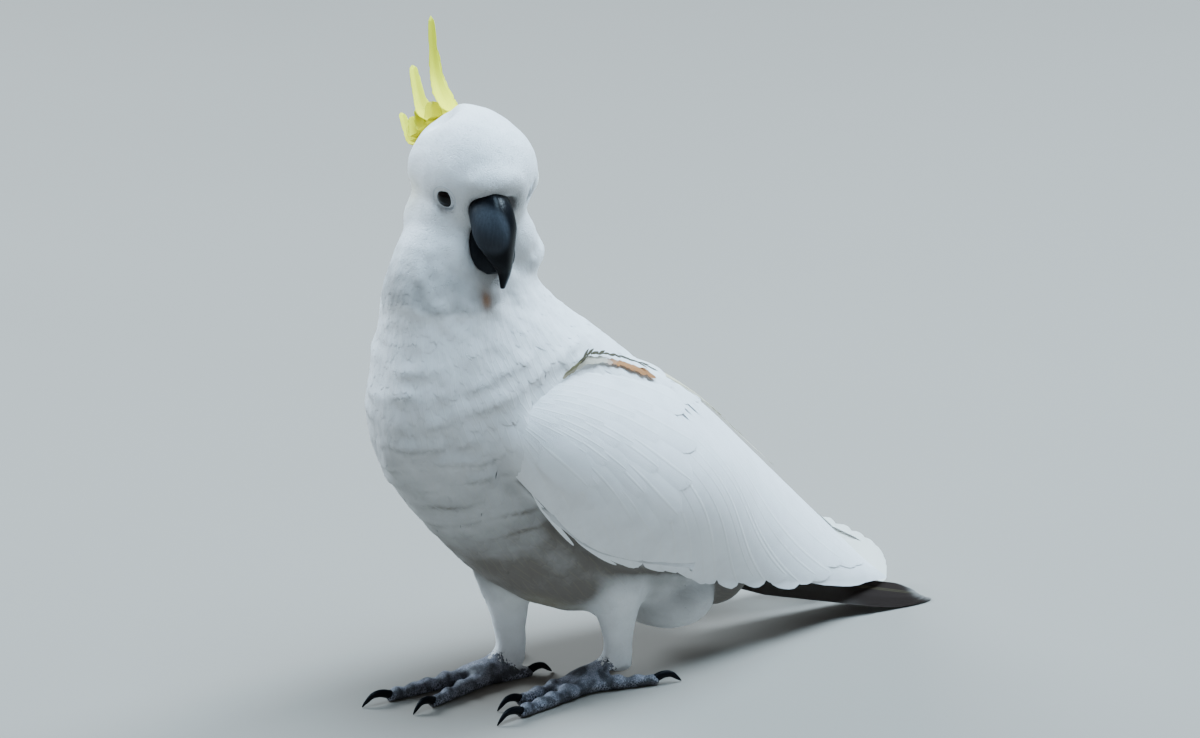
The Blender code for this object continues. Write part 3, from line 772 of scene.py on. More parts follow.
def skin_map(points):
    """Where the skin's unwrap has the vertex near each point. One vertex in three is enough."""
    mesh = bpy.data.objects["skin"].data
    of_vertex = np.zeros((len(mesh.vertices), 2), np.float32)
    of_vertex[corners_of(mesh)] = fetch(mesh.uv_layers["OFBake"].uv, "vector", 2)
    tree = search_tree(read(mesh), np.arange(0, len(mesh.vertices), 3))
    return of_vertex[[tree.find(p)[1] for p in points]]


def vane_grid(rows, columns, count):
    """Faces of count closed vanes. Each has an upper grid of rows by columns and an underside
    that shares its rim. Also says which upper point each underside point lies beneath."""
    top = np.arange(rows * columns).reshape(rows, columns)
    under = top.copy()
    inner = top[1:-1, 1:-1].ravel()
    under[1:-1, 1:-1] = rows * columns + np.arange(len(inner)).reshape(rows - 2, columns - 2)
    one = np.vstack([quads(top), quads(under)[:, [0, 3, 2, 1]]])
    each = rows * columns + len(inner)
    faces = (one[None] + each * np.arange(count)[:, None, None]).reshape(-1, 4)
    return faces, inner


def both_sides(values, inner):
    """Values of the upper points of vanes, followed by those for their undersides."""
    values = values.reshape(len(values), -1, values.shape[-1])
    return np.concatenate([values, values[:, inner]], 1)


def vane_outline(rows, columns, rng, count):
    """Shares along and across a vane: narrow at the root, widest past the middle, rounded at the
    tip, with a slightly ragged end."""
    a = np.linspace(0, 1, rows)[None, :, None] ** 0.85
    b = np.linspace(-1, 1, columns)[None, None, :]
    a, b = np.broadcast_to(a, (count, rows, columns)), np.broadcast_to(b, (count, rows, columns))
    ragged = 1 + TIP_FRAY * rng.normal(size=(count, 1, columns)).clip(-1.5, 1.5) * a**4 * (1 - 0.7 * b**2)
    along = a * (1 - TIP_ROUND * b**2 * a**1.5) * ragged
    across = b * (0.45 + 0.55 * smooth(a, 0, 0.5)) * (1 - 0.42 * a**5)
    return a, b, along, across


def soften(piece, normals):
    """Shading normals of closed vanes: the given ones, turned round on faces that look the other
    way, such as the undersides."""
    mesh = piece.data
    at_corner = normals[corners_of(mesh)]
    facing = (np.repeat(fetch(mesh.polygons, "normal", 3), 4, 0) * at_corner).sum(1)
    turned = np.where(facing < 0, -1.0, 1.0)[:, None]
    mesh.normals_split_custom_set((at_corner * turned).astype(np.float32))


def vane_normals(grid, ground, share):
    """Normals of grids of points (vanes, rows, columns, 3), mixed with those of what they lie on."""
    own = unit(np.cross(np.gradient(grid, axis=1), np.gradient(grid, axis=2)))
    own = own * np.sign((own * ground).sum(-1).mean((1, 2)))[:, None, None, None]
    kept = share * smooth((own * ground).sum(-1, keepdims=True), 0.80, 0.95)
    return unit(ground * (1 - kept) + own * kept)


def dress_vanes(piece, look, slot, nodes, shading, vane, on_map, marks, chance):
    """Finishes vanes whose values come as (vanes, points, width), with one chance for each vane."""
    soften(piece, shading.reshape(-1, 3))
    set_map(piece.data, "vane", vane.reshape(-1, 2))
    set_map(piece.data, "OFBake", (on_map[:, None] + (vane - 0.5) * PATCH).reshape(-1, 2))
    shape = vane.shape[:2]
    marks = np.broadcast_to(marks, (*shape, 3)).reshape(-1, 3)
    set_marks(piece.data, np.column_stack([marks, np.repeat(chance, shape[1])]))
    return finish(piece, look, slot, *nodes)


def feather_coat(name, skin, roots, look, settings, rows, columns, seed, slot="white_feather", above=0.0,
                 own_marks=None):
    """One coat piece: a closed vane at each root, laid along the coat's flow, wrapped to the skin
    and raised from root to tip by its lift, with its sides a little lower than its middle."""
    place, normal, on_map = roots
    way, length, half, lift = settings
    rng = np.random.default_rng(seed)
    count = len(place)
    chance = rng.random(count)
    length = length * rng.uniform(0.86, 1.14, count)
    half = half * rng.uniform(0.9, 1.1, count)
    way = unit(way + np.cross(normal, way) * rng.normal(0, 0.09, (count, 1)))
    side = np.cross(normal, way)
    a, b, along, across = vane_outline(rows, columns, rng, count)
    wide = (slice(None), None, None)
    flat = (place[:, None, None] + way[:, None, None] * (along * length[wide])[..., None]
            + side[:, None, None] * (across * half[wide])[..., None])
    faces, inner = vane_grid(rows, columns, count)
    tilt = rng.normal(0, 0.008, count)
    height = (-ROOT_DEPTH + length[wide] * lift[wide] * along * (1 - 0.30 * a**4)
              - 0.075 * half[wide] * across**2 * (0.4 + a) + tilt[wide] * half[wide] * b * a)
    thick = 0.04 * half[wide] * (1 - b**2) * (1 - a)
    flat = both_sides(flat, inner).reshape(-1, 3)
    low = on_skin(skin, flat, 0.0)
    rise = unit(on_skin(skin, flat, 1.0) - low)
    height, thick = (height + above).reshape(count, -1), thick.reshape(count, -1)
    height = np.concatenate([height, (height - VANE_THICK - thick)[:, inner]], 1).ravel()
    points = low + rise * height[:, None]
    coat = add_mesh(name, points, faces)
    grid, ground = (v.reshape(count, -1, 3)[:, :rows * columns].reshape(count, rows, columns, 3)
                    for v in (points, rise))
    shading = both_sides(vane_normals(grid, ground, 0.55), inner)
    vane = both_sides(np.stack([a, (b + 1) / 2], -1), inner)
    if own_marks is None:
        marks = both_sides(markings(grid.reshape(-1, 3)).reshape(count, -1, 3), inner)
    else:
        marks = own_marks[:, None]
    return dress_vanes(coat, look, slot, (), shading, vane, on_map, marks, chance)


# ---------------------------------------------------------------- long feathers


def long_vane(a, shape):
    """Half width along a long feather, as a share: a bare shaft, a quick swell and a rounded tip."""
    rounded = 1 - ((a - shape) / (1.001 - shape)).clip(0, 1) ** 2.6
    return (0.12 + 0.88 * smooth(a, 0.02, 0.30)) * np.sqrt(np.clip(rounded, 0, 1))


# Where the points across a long vane stand: close together at the shaft and at the rims.
FINE = np.array((-1, -0.86, -0.6, -0.32, -0.1, -0.035, 0.035, 0.1, 0.32, 0.6, 0.86, 1.0))


def long_feathers(name, surface, roots, tips, half, heights, look, rng, tilt, shape, rows=26, bow=0.0,
                  nodes=(), shaft_height=0.03, droop=0.35, limit=None, own_marks=None):
    """Long closed vanes in the (u, q) space of a surface. Each runs from root to tip with a bow,
    is as wide as long_vane says, and is tilted about its shaft so that neighbours overlap like
    tiles. A point at the side goes to the (u, q) that its distance across gives. No point goes
    past q = limit. Own marks are one row for each feather, or worked out from the share along."""
    count = len(roots)
    a = 1 - (1 - np.linspace(0, 1, rows))[None, :, None] ** 1.35
    a, b = np.broadcast_arrays(a, np.broadcast_to(FINE, (count, rows, len(FINE))))
    run_u, run_q = (tips - roots).T[:, :, None, None]
    u = roots[:, 0, None, None] + run_u * a
    q = roots[:, 1, None, None] + run_q * a + np.sin(np.pi * a) * bow
    _, du, dq, normal = surface(u, q)
    side = unit(np.cross(normal, du * run_u[..., None] + dq * run_q[..., None]))
    wide = long_vane(a, shape) * half[:, None, None]
    notch = 1 - 0.035 * np.abs(np.sin(a * 40 + b + rng.uniform(0, 9, (count, 1, 1)))) * (np.abs(b) > 0.9)
    offset = (b * wide * notch)[..., None] * side
    metric = np.stack([(du * du).sum(-1), (du * dq).sum(-1), (dq * dq).sum(-1)])
    along, across = (offset * du).sum(-1), (offset * dq).sum(-1)
    under = np.maximum(metric[0] * metric[2] - metric[1] ** 2, 1e-3)
    u = u + (along * metric[2] - across * metric[1]) / under
    q = q + (across * metric[0] - along * metric[1]) / under
    if limit is not None:
        most = rail(limit, np.clip(u, 0, 1))
        q = np.where(q > most - 0.05, most - 0.05 * np.exp(-np.maximum(q - most + 0.05, 0) / 0.05), q)
    base, _, _, normal = surface(u, q)
    shaft = bell(b * wide, 0.55) * shaft_height * (1 - 0.7 * a)
    rise = heights[0] + (heights[1] - heights[0]) * a + tilt * b * smooth(a, 0.05, 0.3)
    camber = -droop * b**2 * wide / 10
    top = base + normal * (rise + shaft + camber)[..., None]
    faces, inner = vane_grid(rows, len(FINE), count)
    thick = (0.22 * (1 - b**2) + shaft * 1.3)[..., None]
    beneath = (top - normal * thick).reshape(count, -1, 3)[:, inner]
    points = np.concatenate([top.reshape(count, -1, 3), beneath], 1)
    made = add_mesh(name, points, faces)
    outwards(made)
    shading = both_sides(vane_normals(top, normal, 0.3), inner)
    vane = both_sides(np.stack([a, (b + 1) / 2], -1), inner)
    on_map = skin_map(points[:, len(FINE) // 2])
    if own_marks is None:
        marks = (markings(points.reshape(-1, 3)) * MARKS_KEPT).reshape(points.shape)
    elif callable(own_marks):
        marks = own_marks(vane[..., :1])
    else:
        marks = np.asarray(own_marks)[:, None]
    return dress_vanes(made, look, "white_feather", nodes, shading, vane, on_map, marks, rng.random(count))


def wing_of(side):
    """The outer face of one wing as a surface for long feathers."""
    return lambda u, q: wing_surface(u, q, side)


def make_flight_feathers(side_name, side, look, rng):
    """Eight primaries that form the wing's tip, sixteen secondaries that fan to its lower edge, and
    two narrow feathers along the edge of the shoulder."""
    surface = wing_of(side)
    k = np.linspace(0, 1, 8)
    roots = np.stack([0.20 + 0.16 * k, 0.80 - 0.35 * k], 1)
    tips = np.stack([0.90 + 0.10 * np.sin(np.pi * (0.15 + 0.5 * k)), 0.86 - 0.52 * k], 1)
    long_feathers(f"wing_{side_name}_primaries", surface, roots, tips, 9.5 - 2.5 * k, (-2.6, -1.2), look, rng,
                  -0.35 * side, 0.80, bow=0.02)
    k = np.linspace(0, 1, 16)
    roots = np.stack([0.22 + 0.22 * k, 0.50 - 0.47 * k], 1)
    tips = np.stack([0.40 + 0.55 * k**0.9, 1.02 - 0.04 * k - 0.50 * smooth(k, 0.72, 1.0)], 1)
    tips += rng.normal(0, 0.006, tips.shape)
    tips[1::2, 1] -= 0.055 * smooth(k, 0.40, 0.55)[1::2]
    limit = (*WING_EDGE[:4], 1.0, 1.08, 1.08, 1.08, 1.08)
    long_feathers(f"wing_{side_name}_secondaries", surface, roots, tips, np.full(16, 12.5), (-2.1, -0.9),
                  look, rng, -0.35 * side, 0.84, bow=-0.04, limit=limit, nodes=(f"wing_{side_name}_quills",))
    roots, tips = np.array((((0.10, 0.925), (0.22, 0.95)), ((0.25, 0.985), (0.36, 0.985))))
    long_feathers(f"wing_{side_name}_edge_feather", surface, roots, tips, np.array((1.3, 1.1)), (-1.8, -2.2),
                  look, rng, -0.3 * side, 0.5, own_marks=np.zeros((2, 3)))


COVERT_ROWS = (  # root's u, length and half width
    (-0.010, 18, 6.0), (0.012, 19, 6.2), (0.034, 20, 6.5), (0.057, 22, 6.9), (0.081, 24, 7.3),
    (0.106, 27, 7.9), (0.133, 31, 8.7), (0.163, 37, 9.8), (0.198, 46, 11.2), (0.238, 66, 13.0),
)


def make_wing_coverts(side_name, side, look, rng):
    """Ten rows of coverts, small and round at the shoulder, the last row long, set like tiles."""
    roots, tips, half, raised = [], [], [], []
    for number, (u, length, wide) in enumerate(COVERT_ROWS):
        upper, lower = wing_line(np.array([u + 0.02]), side)
        chord = float(np.linalg.norm(upper - lower)) + 20
        count = int(chord / (wide * 1.15))
        q = (np.arange(count) + 0.5 * (number % 2)) / (count - 0.5) * 1.12 - 0.09
        q = np.clip(q + rng.normal(0, 0.006, count), -0.10, 0.93)
        lean = np.radians(6 + 30 * q)
        u0 = u + 0.035 * (1 - q) + rng.normal(0, 0.003, count)
        _, du, dq, _ = wing_surface(u0, np.clip(q, 0.08, 0.92), side)
        size = length * rng.uniform(0.92, 1.08, count)
        du, dq = np.linalg.norm(du, axis=-1), np.linalg.norm(dq, axis=-1)
        roots.append(np.stack([u0, q], 1))
        reach_u, reach_q = size * np.cos(lean) / du, size * np.sin(lean) / dq
        tips.append(np.stack([u0 + reach_u, np.minimum(q + reach_q, 0.99)], 1))
        half.append(wide * rng.uniform(0.93, 1.07, count))
        raised.append(0.014 * size)
    roots, tips, half, raised = (np.concatenate(v) for v in (roots, tips, half, raised))
    heights = (-1.5, -1.5 + raised[:, None, None])
    long_feathers(f"wing_{side_name}_covert_coat", wing_of(side), roots, tips, half, heights, look, rng,
                  0.0, 0.55, rows=14, shaft_height=0.02, droop=0.9, limit=WING_EDGE,
                  nodes=(f"wing_{side_name}_coverts",))


def make_loose_feathers(look, rng):
    """The few feathers that stand out on the left wing: one broad covert, and the edges of the
    innermost quills along the back, which show wear."""
    roots, tips = np.array((((0.085, 0.56),), ((0.203, 0.70),)))
    long_feathers("wing_left_broad_covert", wing_of(1), roots, tips, np.array((12.5,)), (-1.2, 1.3), look,
                  rng, 0.0, 0.45, droop=0.4, shaft_height=0.04)
    roots = np.array(((0.36, 0.02), (0.42, 0.03), (0.50, 0.03)))
    tips = np.array(((0.60, -0.005), (0.66, 0.0), (0.74, 0.01)))
    marks = ((0.25, 0.5, 0.15), (0.1, 0.4, 0.05), (0.3, 0.4, 0.1))
    long_feathers("wing_left_inner_edges", wing_of(1), roots, tips, np.array((3.0, 2.6, 2.4)), (-1.6, -0.6),
                  look, rng, -0.3, 0.75, own_marks=marks)


def make_slit(look):
    """The parting over the left wing: a row of dark feathers along its edge as painted shadow, with pale and
    ochre down below it.
    """
    k = np.linspace(0, 1, 22)
    skin = bpy.data.objects["skin"]
    # The tail's dark material also serves the shade row, dark feathers that paint the parting's shadow.
    dark = bpy.data.materials["plumage_tail"]
    # For each: its name, shift across the wing, half width, length, height, material, and marks
    # at its front and its rear.
    pieces = (("down", 0.026, 2.4, 8.0, 2.3, look, (0.40, 0.25, 0.15), (0.25, 0.0, 1.0)),
              ("shade", 0.002, 1.0, 9.0, 4.0, dark, (1.0, 0.05, 0.05), (0.95, 0.05, 0.2)))
    for name, shift, half, length, above, material, front, rear in pieces:
        at = rail(SLIT, 0.92 * k) + (0, shift)
        place = wing_surface(at[:, 0], at[:, 1], 1)[0]
        place = on_skin(skin, place, 0.0)
        normal = unit(on_skin(skin, place, 1.0) - place)
        way = unit(np.gradient(place, axis=0))
        way = unit(way - normals_part(way, normal))
        marks = np.array(front) + (np.array(rear) - front) * smooth(k, 0.45, 0.6)[:, None]
        # Painted shadow at the parting's front end.
        marks[k < 0.1] = (0.9, 0.2, 0.1)
        size = 1 + 0.2 * np.sin(9 * k)
        half = half * (0.55 + 0.45 * np.sin(np.pi * k)) * size
        settings = (way, length * size, half, np.full(len(k), 0.02))
        roots = place, normal, skin_map(place)
        feather_coat(f"slit_{name}_feathers", skin, roots, material, settings, 8, 5, 51, above=above,
                     own_marks=marks)


def far_tip_surface(u, q):
    """A sheet over the tail's right side, from its root at u = 0: a plane with a slight dish."""
    def place(u, q):
        flat = u[..., None] * FAR_TIP[1] + q[..., None] * FAR_TIP[2]
        point = FAR_TIP[0] + flat + np.stack([2.5 * np.sin(np.pi * u), 0 * u, 0 * u], -1)
        point[..., 2] = TAIL_FLOOR + np.logaddexp(0, point[..., 2] - TAIL_FLOOR - 2)
        return point

    return with_slopes(place, u, q, 0.01)


def make_far_tip(look, rng):
    """The right wing's last feathers, which fan out beyond the left wing's tip."""
    k = np.linspace(0, 1, 8)
    roots = np.stack([0.06 * k, 0.10 + 0.35 * k], 1)
    tips = np.stack([rail((0.54, 0.76, 0.87, 0.85, 0.78), k), 0.92 * k], 1)
    long_feathers("wing_right_tip_feathers", far_tip_surface, roots, tips, 8.5 - 0.6 * k, (0.0, 0.8), look,
                  rng, 0.35, 0.88, own_marks=np.tile((0, 0.22, 0), (8, 1)))


def tail_surface(u, q):
    """The upper face of the tail's fan: u along it, q across it from -1 to 1, arched sideways."""
    z_turn, x_turn, y_turn = (Matrix.Rotation(angle, 3, axis) for angle, axis in zip(TAIL_ANGLES, "ZXY"))
    turn = np.array(z_turn @ x_turn @ y_turn)

    def place(u, q):
        half = TAIL_HALF[0] + (TAIL_HALF[1] - TAIL_HALF[0]) * np.clip(u, 0, 2) ** 0.8
        flat = np.stack([half * q, TAIL_LENGTH * u, -TAIL_ARCH * np.abs(q) ** 1.4], -1)
        point = flat @ turn.T + TAIL_ROOT
        point[..., 2] = TAIL_FLOOR + np.logaddexp(0, (point[..., 2] - TAIL_FLOOR) / 1.5) * 1.5
        return point

    return with_slopes(place, u, q, 0.003)


def tail_marks(a):
    """Marks along the tail's feathers: grey, deepening to brown, with a pale tip. The grey and the brown are
    partly wear and partly painted shade from the wing over the tail.
    """
    deep = 0.95 * smooth(a, 0.60, 0.72) * (1 - smooth(a, 0.94, 1.0))
    return np.concatenate([1 - 0.6 * smooth(a, 0.95, 1.0), 0 * a, deep], -1)


def make_tail(look, rng):
    """Twelve tail feathers. The middle pair lies on top, and each side tucks under it."""
    k = np.arange(TAIL_FEATHERS)
    q = -1 + (2 * k + 1) / TAIL_FEATHERS
    order = np.argsort(-np.abs(q))
    roots = np.stack([0.02 + 0 * q, q * 0.5], 1)[order]
    tips = np.stack([0.90 + 0.04 * q + rng.normal(0, 0.004, len(q)), 0.48 + 0.34 * q], 1)[order]
    rise = (0.9 * (1 - np.abs(q)))[order][:, None, None]
    tilt = (np.sign(q)[order] * -0.35)[:, None, None]
    long_feathers("tail_feathers", tail_surface, roots, tips, np.full(len(q), 7.5), (rise - 0.6, rise - 0.5),
                  look, rng, tilt, 0.70, rows=30, own_marks=tail_marks, nodes=("tail",))


def make_crest(look, rng):
    """Narrow feathers with a shallow V section, along curves that lie back on the crown and curl
    up. A path that stands off the middle has a slightly narrower mirror image."""
    rows = 40
    a, b = np.broadcast_arrays(np.linspace(0, 1, rows)[:, None], FINE)
    out = np.array((1.0, 0, 0))
    thick = (0.35 * (1 - b**2) + 0.9 * bell(b, 0.12) * (1 - 0.8 * a))[..., None]
    notch = (1.8 * bell(b, 0.3) * smooth(a, 0.88, 1.0))[..., None]
    feathers = [(path, half, end, mirror) for path, half, end in CREST
                for mirror in ((1,) if abs(path[3][0]) < 2 else (1, -0.8))]
    faces, inner = vane_grid(rows, len(FINE), len(feathers))
    points = []
    for path, half, end, mirror in feathers:
        centre = rail(path, a[:, 0]) * (mirror, 1, 1)
        wide = half * rail((0.7, 0.88, 1.0, 1.0, 0.5 + 0.5 * end, end, end), a)
        wide = wide * np.sqrt(np.clip(1.002 - a**22, 0, 1))
        run = unit(np.gradient(centre, axis=0))
        up = np.cross(out, run)
        fray = 1 + 0.05 * rng.normal(size=(rows, len(FINE))) * (np.abs(b) > 0.9)
        top = centre[:, None] + out * (b * wide * fray * 0.9)[..., None]
        top = top + up[:, None] * (0.25 * np.abs(b) * wide)[..., None] - run[:, None] * notch
        beneath = (top - up[:, None] * thick).reshape(-1, 3)[inner]
        points.append(np.vstack([top.reshape(-1, 3), beneath]))
    made = add_mesh("crest_feathers", head_to_bird(np.vstack(points)), faces)
    outwards(made)
    vane = both_sides(np.stack([a, (b + 1) / 2], -1)[None], inner)[0]
    set_map(made.data, "vane", np.tile(vane, (len(feathers), 1)))
    chance = np.repeat(rng.random(len(feathers)), len(vane))
    set_marks(made.data, np.column_stack([np.zeros((len(chance), 3)), chance]))
    return finish(made, look, "yellow_feather", *(f"crest_{k}" for k in range(1, CREST_NODES + 1)))


# ---------------------------------------------------------------- horn, eyes, feet


def make_bill(part, look):
    """A bill half as superellipses along its curve. The upper one has a ridge along its top and
    draws in under the cutting edge; its last fifth is the hook."""
    path, side, depth = BILL[part]
    rows, around = 64, 48
    a = np.linspace(0, 1, rows) ** 0.85
    centre = np.zeros((rows, 3))
    centre[:, 1:] = rail(path, a)
    if part == "upper":
        centre[:, 0] = rail((-1.8, -2.3, -3.0, -2.9, -0.5, 2.2, 2.1), a)
    out = tube_rings(centre, np.array((1.0, 0, 0)), rail(side, a), rail(depth, a), around, 0.9)
    out = out - centre[:, None]
    if part == "upper":
        t, whole = circle(around), 2 * math.pi
        top, bottom = ((t - at + math.pi) % whole - math.pi for at in (math.pi * 1.5, math.pi / 2))
        edge = bell(np.abs(bottom) - 0.95, 0.16) * np.sin(np.pi * a)[:, None]
        swell = 1 + 0.05 * bell(top, 0.35)[None, :, None] + 0.05 * edge[..., None]
        front = smooth(unit(out)[..., 1] * -1, -0.2, 1.0)
        roof = smooth(unit(out)[..., 2], 0.1, 1.0) * np.where(out[..., 0] < 0, 0.42, 0.10)
        out[..., 0] *= (1 - 0.30 * front) * (1 - roof)
        out = out * swell
    made = loft(f"bill_{part}_horn", head_to_bird(centre[:, None] + out))
    place = bird_to_head(read(made.data))
    oval = np.hypot((place[:, 0] + 8) / 10, (place[:, 2] + 21) / 13)
    powder = (1 - smooth(oval, 0.75, 1.2)) * smooth(-place[:, 1], 28, 38)
    set_share(made.data, powder if part == "upper" else np.full(len(place), 0.25))
    return finish(made, look, "dark_horn", f"bill_{part}")


def from_eye(points, side):
    """From an eye's middle, with the head's axes, to the bird's frame."""
    return head_to_bird(points + EYE_PLACE * (side, 1, 1) + EYE_LIFT)


def eye_axes(side):
    """The way an eye looks, and two ways square to it."""
    first = unit(np.cross(EYE_OUT[side], (0, 0, 1)))
    return EYE_OUT[side], first, np.cross(EYE_OUT[side], first)


def make_eye(side_name, side, look):
    """An eyeball as a sphere of grid points, with a slightly flatter dark front."""
    rows, around = 40, 64
    v = np.linspace(0.02, math.pi - 0.02, rows)[:, None]
    t = circle(around)[None]
    out, first, second = eye_axes(side)
    radius = (EYE_RADIUS + 0.3) * (1 + 0.02 * bell(v, 0.5))
    rings = (radius * np.cos(v) * EYE_FLAT - EYE_SUNK[side])[..., None] * out
    rings = rings + (radius * np.sin(v) * np.cos(t))[..., None] * first
    rings = rings + (radius * np.sin(v) * np.sin(t))[..., None] * second
    made = loft(f"eyeball_{side_name}", from_eye(rings, side))
    set_share(made.data, np.concatenate([np.repeat(v[:, 0], around), [0, math.pi]]) / math.pi)
    return finish(made, look, "dark_eye", f"eye_{side_name}")


def make_lids(side_name, side, look):
    """The bare ring round an eye: a lip on the ball, then creased skin that runs out under the
    face's feathers. It is a profile of radius and height turned about the eye's axis."""
    rows, around = 30, 72
    s = np.linspace(0, 1, rows)[:, None]
    t = circle(around)[None]
    out, first, second = eye_axes(side)
    opening = EYE_OPENING * (1 + 0.13 * np.abs(np.sin(t)) ** 2)
    radius = opening + (EYE_RING[side] - opening) * s
    ball = np.sqrt(np.maximum((EYE_RADIUS + 0.5) ** 2 - radius**2, 0)) * EYE_FLAT - EYE_SUNK[side]
    disc = (radius * np.cos(t))[..., None] * first + (radius * np.sin(t))[..., None] * second
    before = from_eye(disc + out * 3.0, side).reshape(-1, 3)
    level = on_skin(bpy.data.objects["skin"], before, 0.1) - before
    level = (level @ (TURN @ out)).reshape(radius.shape) + 3.0
    level = level.mean(1, keepdims=True) * 0.5 + level * 0.5
    crease = 0.12 * np.sin(s * 24 + 0.8 * np.sin(3 * t)) + 0.04 * np.sin(t * 36 + 5 * s)
    crease = crease * smooth(s, 0.2, 0.35) * (1 - s)
    join = smooth(s, 0.10, 0.75)
    height = ball * (1 - join) + level * join + 0.25 * np.sin(np.pi * np.clip(s / 0.3, 0, 1)) + crease
    rings = height[..., None] * out + disc
    sheet = np.concatenate([rings[:1] * 0.93, rings, rings[-1:] - out * 1.5, rings[:1] * 0.88 - out * 1.5], 0)
    last = (len(sheet) - 1) * around
    k = np.arange(around)
    close = np.stack([last + k, k, (k + 1) % around, last + (k + 1) % around], 1)
    faces = np.vstack([ring_faces(len(sheet), around), close])
    made = add_mesh(f"eyelids_{side_name}", from_eye(sheet, side), faces)
    outwards(made)
    set_marks(made.data, np.zeros((len(sheet) * around, 4)))
    return finish(made, look, "white_feather")


def palm(side):
    """The middle of a foot on the floor, where its toes meet."""
    return np.array((side * FOOT_SIDE, ANKLE_BACK + FOOT_STEP * side - PALM_FORWARD, 0))


def toe_line(side, toe):
    """Where a toe starts and which way it runs, outwards from straight ahead."""
    angles, _, _, shift, _ = TOES[toe]
    turn = math.radians(angles[0 if side > 0 else 1])
    ahead = np.array([side * math.sin(turn), -math.cos(turn), 0])
    return palm(side) + (side * shift, 0, 0) + ahead * 2, ahead


def make_claws(look):
    """Hooked claws: each leaves its toe's end, arches and comes down to the floor."""
    for side_name, side in SIDES:
        for toe, (_, length, claw, _, radius) in TOES.items():
            start, ahead = toe_line(side, toe)
            a = np.linspace(0, 1, 26)
            reach = length - 3 + rail((0, 0.32, 0.62, 0.86, 1.0), a) * (claw + 3)
            path = start + ahead * reach[:, None]
            path[:, 2] = rail((radius * 0.85, radius + 1.4, radius + 1.2, radius * 0.62, 0.7), a)
            thick = rail((2.7, 2.4, 1.9, 1.2, 0.35), a)
            across = np.cross(ahead, (0, 0, 1))
            made = loft(f"nail_{side_name}_{toe}", tube_rings(path, across, thick * 0.8, thick, 20))
            finish(made, look, "dark_horn", f"claw_{side_name}_{toe}")


def bare_foot(points):
    """1 on the bare foot and 0 on the feathered leg, which ends in a cuff over the ankle."""
    line = np.vstack([thigh_line(side, np.linspace(0.8, 1, 8)) for _, side in SIDES])
    gap, nearest = near_line(points * (1, 1, 0), line * (1, 1, 0))
    before = line[nearest, 1] - points[:, 1]
    return 1 - smooth(points[:, 2] - 11 * smooth(before, 3, 10) - 9 * smooth(gap, 11.5, 14), 5.0, 7.0)


def foot_flow(points, normals):
    """The lie of the scales: down the shank, then out along the toes."""
    way = np.zeros_like(points)
    for _, side in SIDES:
        mine = points[:, 0] * side > 0
        centre = palm(side)
        away = points - centre
        away[:, 2] = 0
        shank = smooth(points[:, 2], 10, 20)[:, None]
        way[mine] = (unit(away) * (1 - shank) + np.array((0, -0.6, -1)) * shank)[mine]
    return unit(way - normals_part(way, normals))


# ---------------------------------------------------------------- materials


def rgba(colour, factor=1):
    """An opaque colour, darkened by a factor."""
    return (*(v * factor for v in colour), 1)


def wire(tree, node, values):
    """Gives inputs of a node their numbers or colours, or joins them to sockets."""
    for key, value in values.items():
        if isinstance(value, bpy.types.NodeSocket):
            tree.links.new(value, node.inputs[key])
        else:
            node.inputs[key].default_value = value


def put(tree, kind, values=None, **settings):
    """The outputs of a new node of one kind, with its settings and its inputs."""
    node = tree.nodes.new("ShaderNode" + kind)
    for key, value in settings.items():
        setattr(node, key, value)
    wire(tree, node, values or {})
    return node.outputs


def sums(tree, operation, *values):
    """The result of a mathematical operation."""
    return put(tree, "Math", dict(enumerate(values)), operation=operation)[0]


def ramp(tree, value, low, high, out_low=0.0, out_high=1.0):
    """A soft step of value between low and high."""
    values = {0: value, 1: low, 2: high, 3: out_low, 4: out_high}
    return put(tree, "MapRange", values, interpolation_type="SMOOTHSTEP")[0]


def mixed(tree, share, one, two):
    """A mix of two colours."""
    return put(tree, "Mix", {0: share, 6: one, 7: two}, data_type="RGBA")[2]


def noise(tree, place, scale, detail, roughness=0.5):
    """Cloudy noise at a place."""
    values = {"Vector": place, "Scale": scale, "Detail": detail, "Roughness": roughness}
    return put(tree, "TexNoise", values)[0]


def relief(tree, height, strength, depth):
    """Normals of a bumpy surface, from its height and the depth of a whole step in metres."""
    return put(tree, "Bump", {"Strength": strength, "Distance": depth, "Height": height})[0]


def object_place(tree):
    """Where a point lies in the model, in metres."""
    return put(tree, "TexCoord")["Object"]


def marks_of(tree):
    """The marks of a piece: Color for the first three and Alpha for the fourth."""
    return put(tree, "Attribute", attribute_name="marks")


def use_group(tree, name, values):
    """The outputs of a shared group."""
    return put(tree, "Group", values, node_tree=bpy.data.node_groups[name])


def new_group(name, inputs, outputs):
    """A new shader group: inputs as kind and default, outputs as kind (float, colour or vector)."""
    tree = bpy.data.node_groups.new(name, "ShaderNodeTree")
    kinds = {"F": "NodeSocketFloat", "C": "NodeSocketColor", "V": "NodeSocketVector"}
    for label, (kind, default) in inputs.items():
        socket = tree.interface.new_socket(label, in_out="INPUT", socket_type=kinds[kind])
        if default is not None:
            socket.default_value = default
    for label, kind in outputs.items():
        tree.interface.new_socket(label, in_out="OUTPUT", socket_type=kinds[kind])
    return tree, tree.nodes.new("NodeGroupInput").outputs, tree.nodes.new("NodeGroupOutput")


def new_material(name):
    """A material with one shader, and that shader."""
    look = bpy.data.materials.new(name)
    look.use_nodes = True
    tree = look.node_tree
    tree.nodes.clear()
    shader = tree.nodes.new("ShaderNodeBsdfPrincipled")
    put(tree, "OutputMaterial", {"Surface": shader.outputs[0]})
    return tree, shader


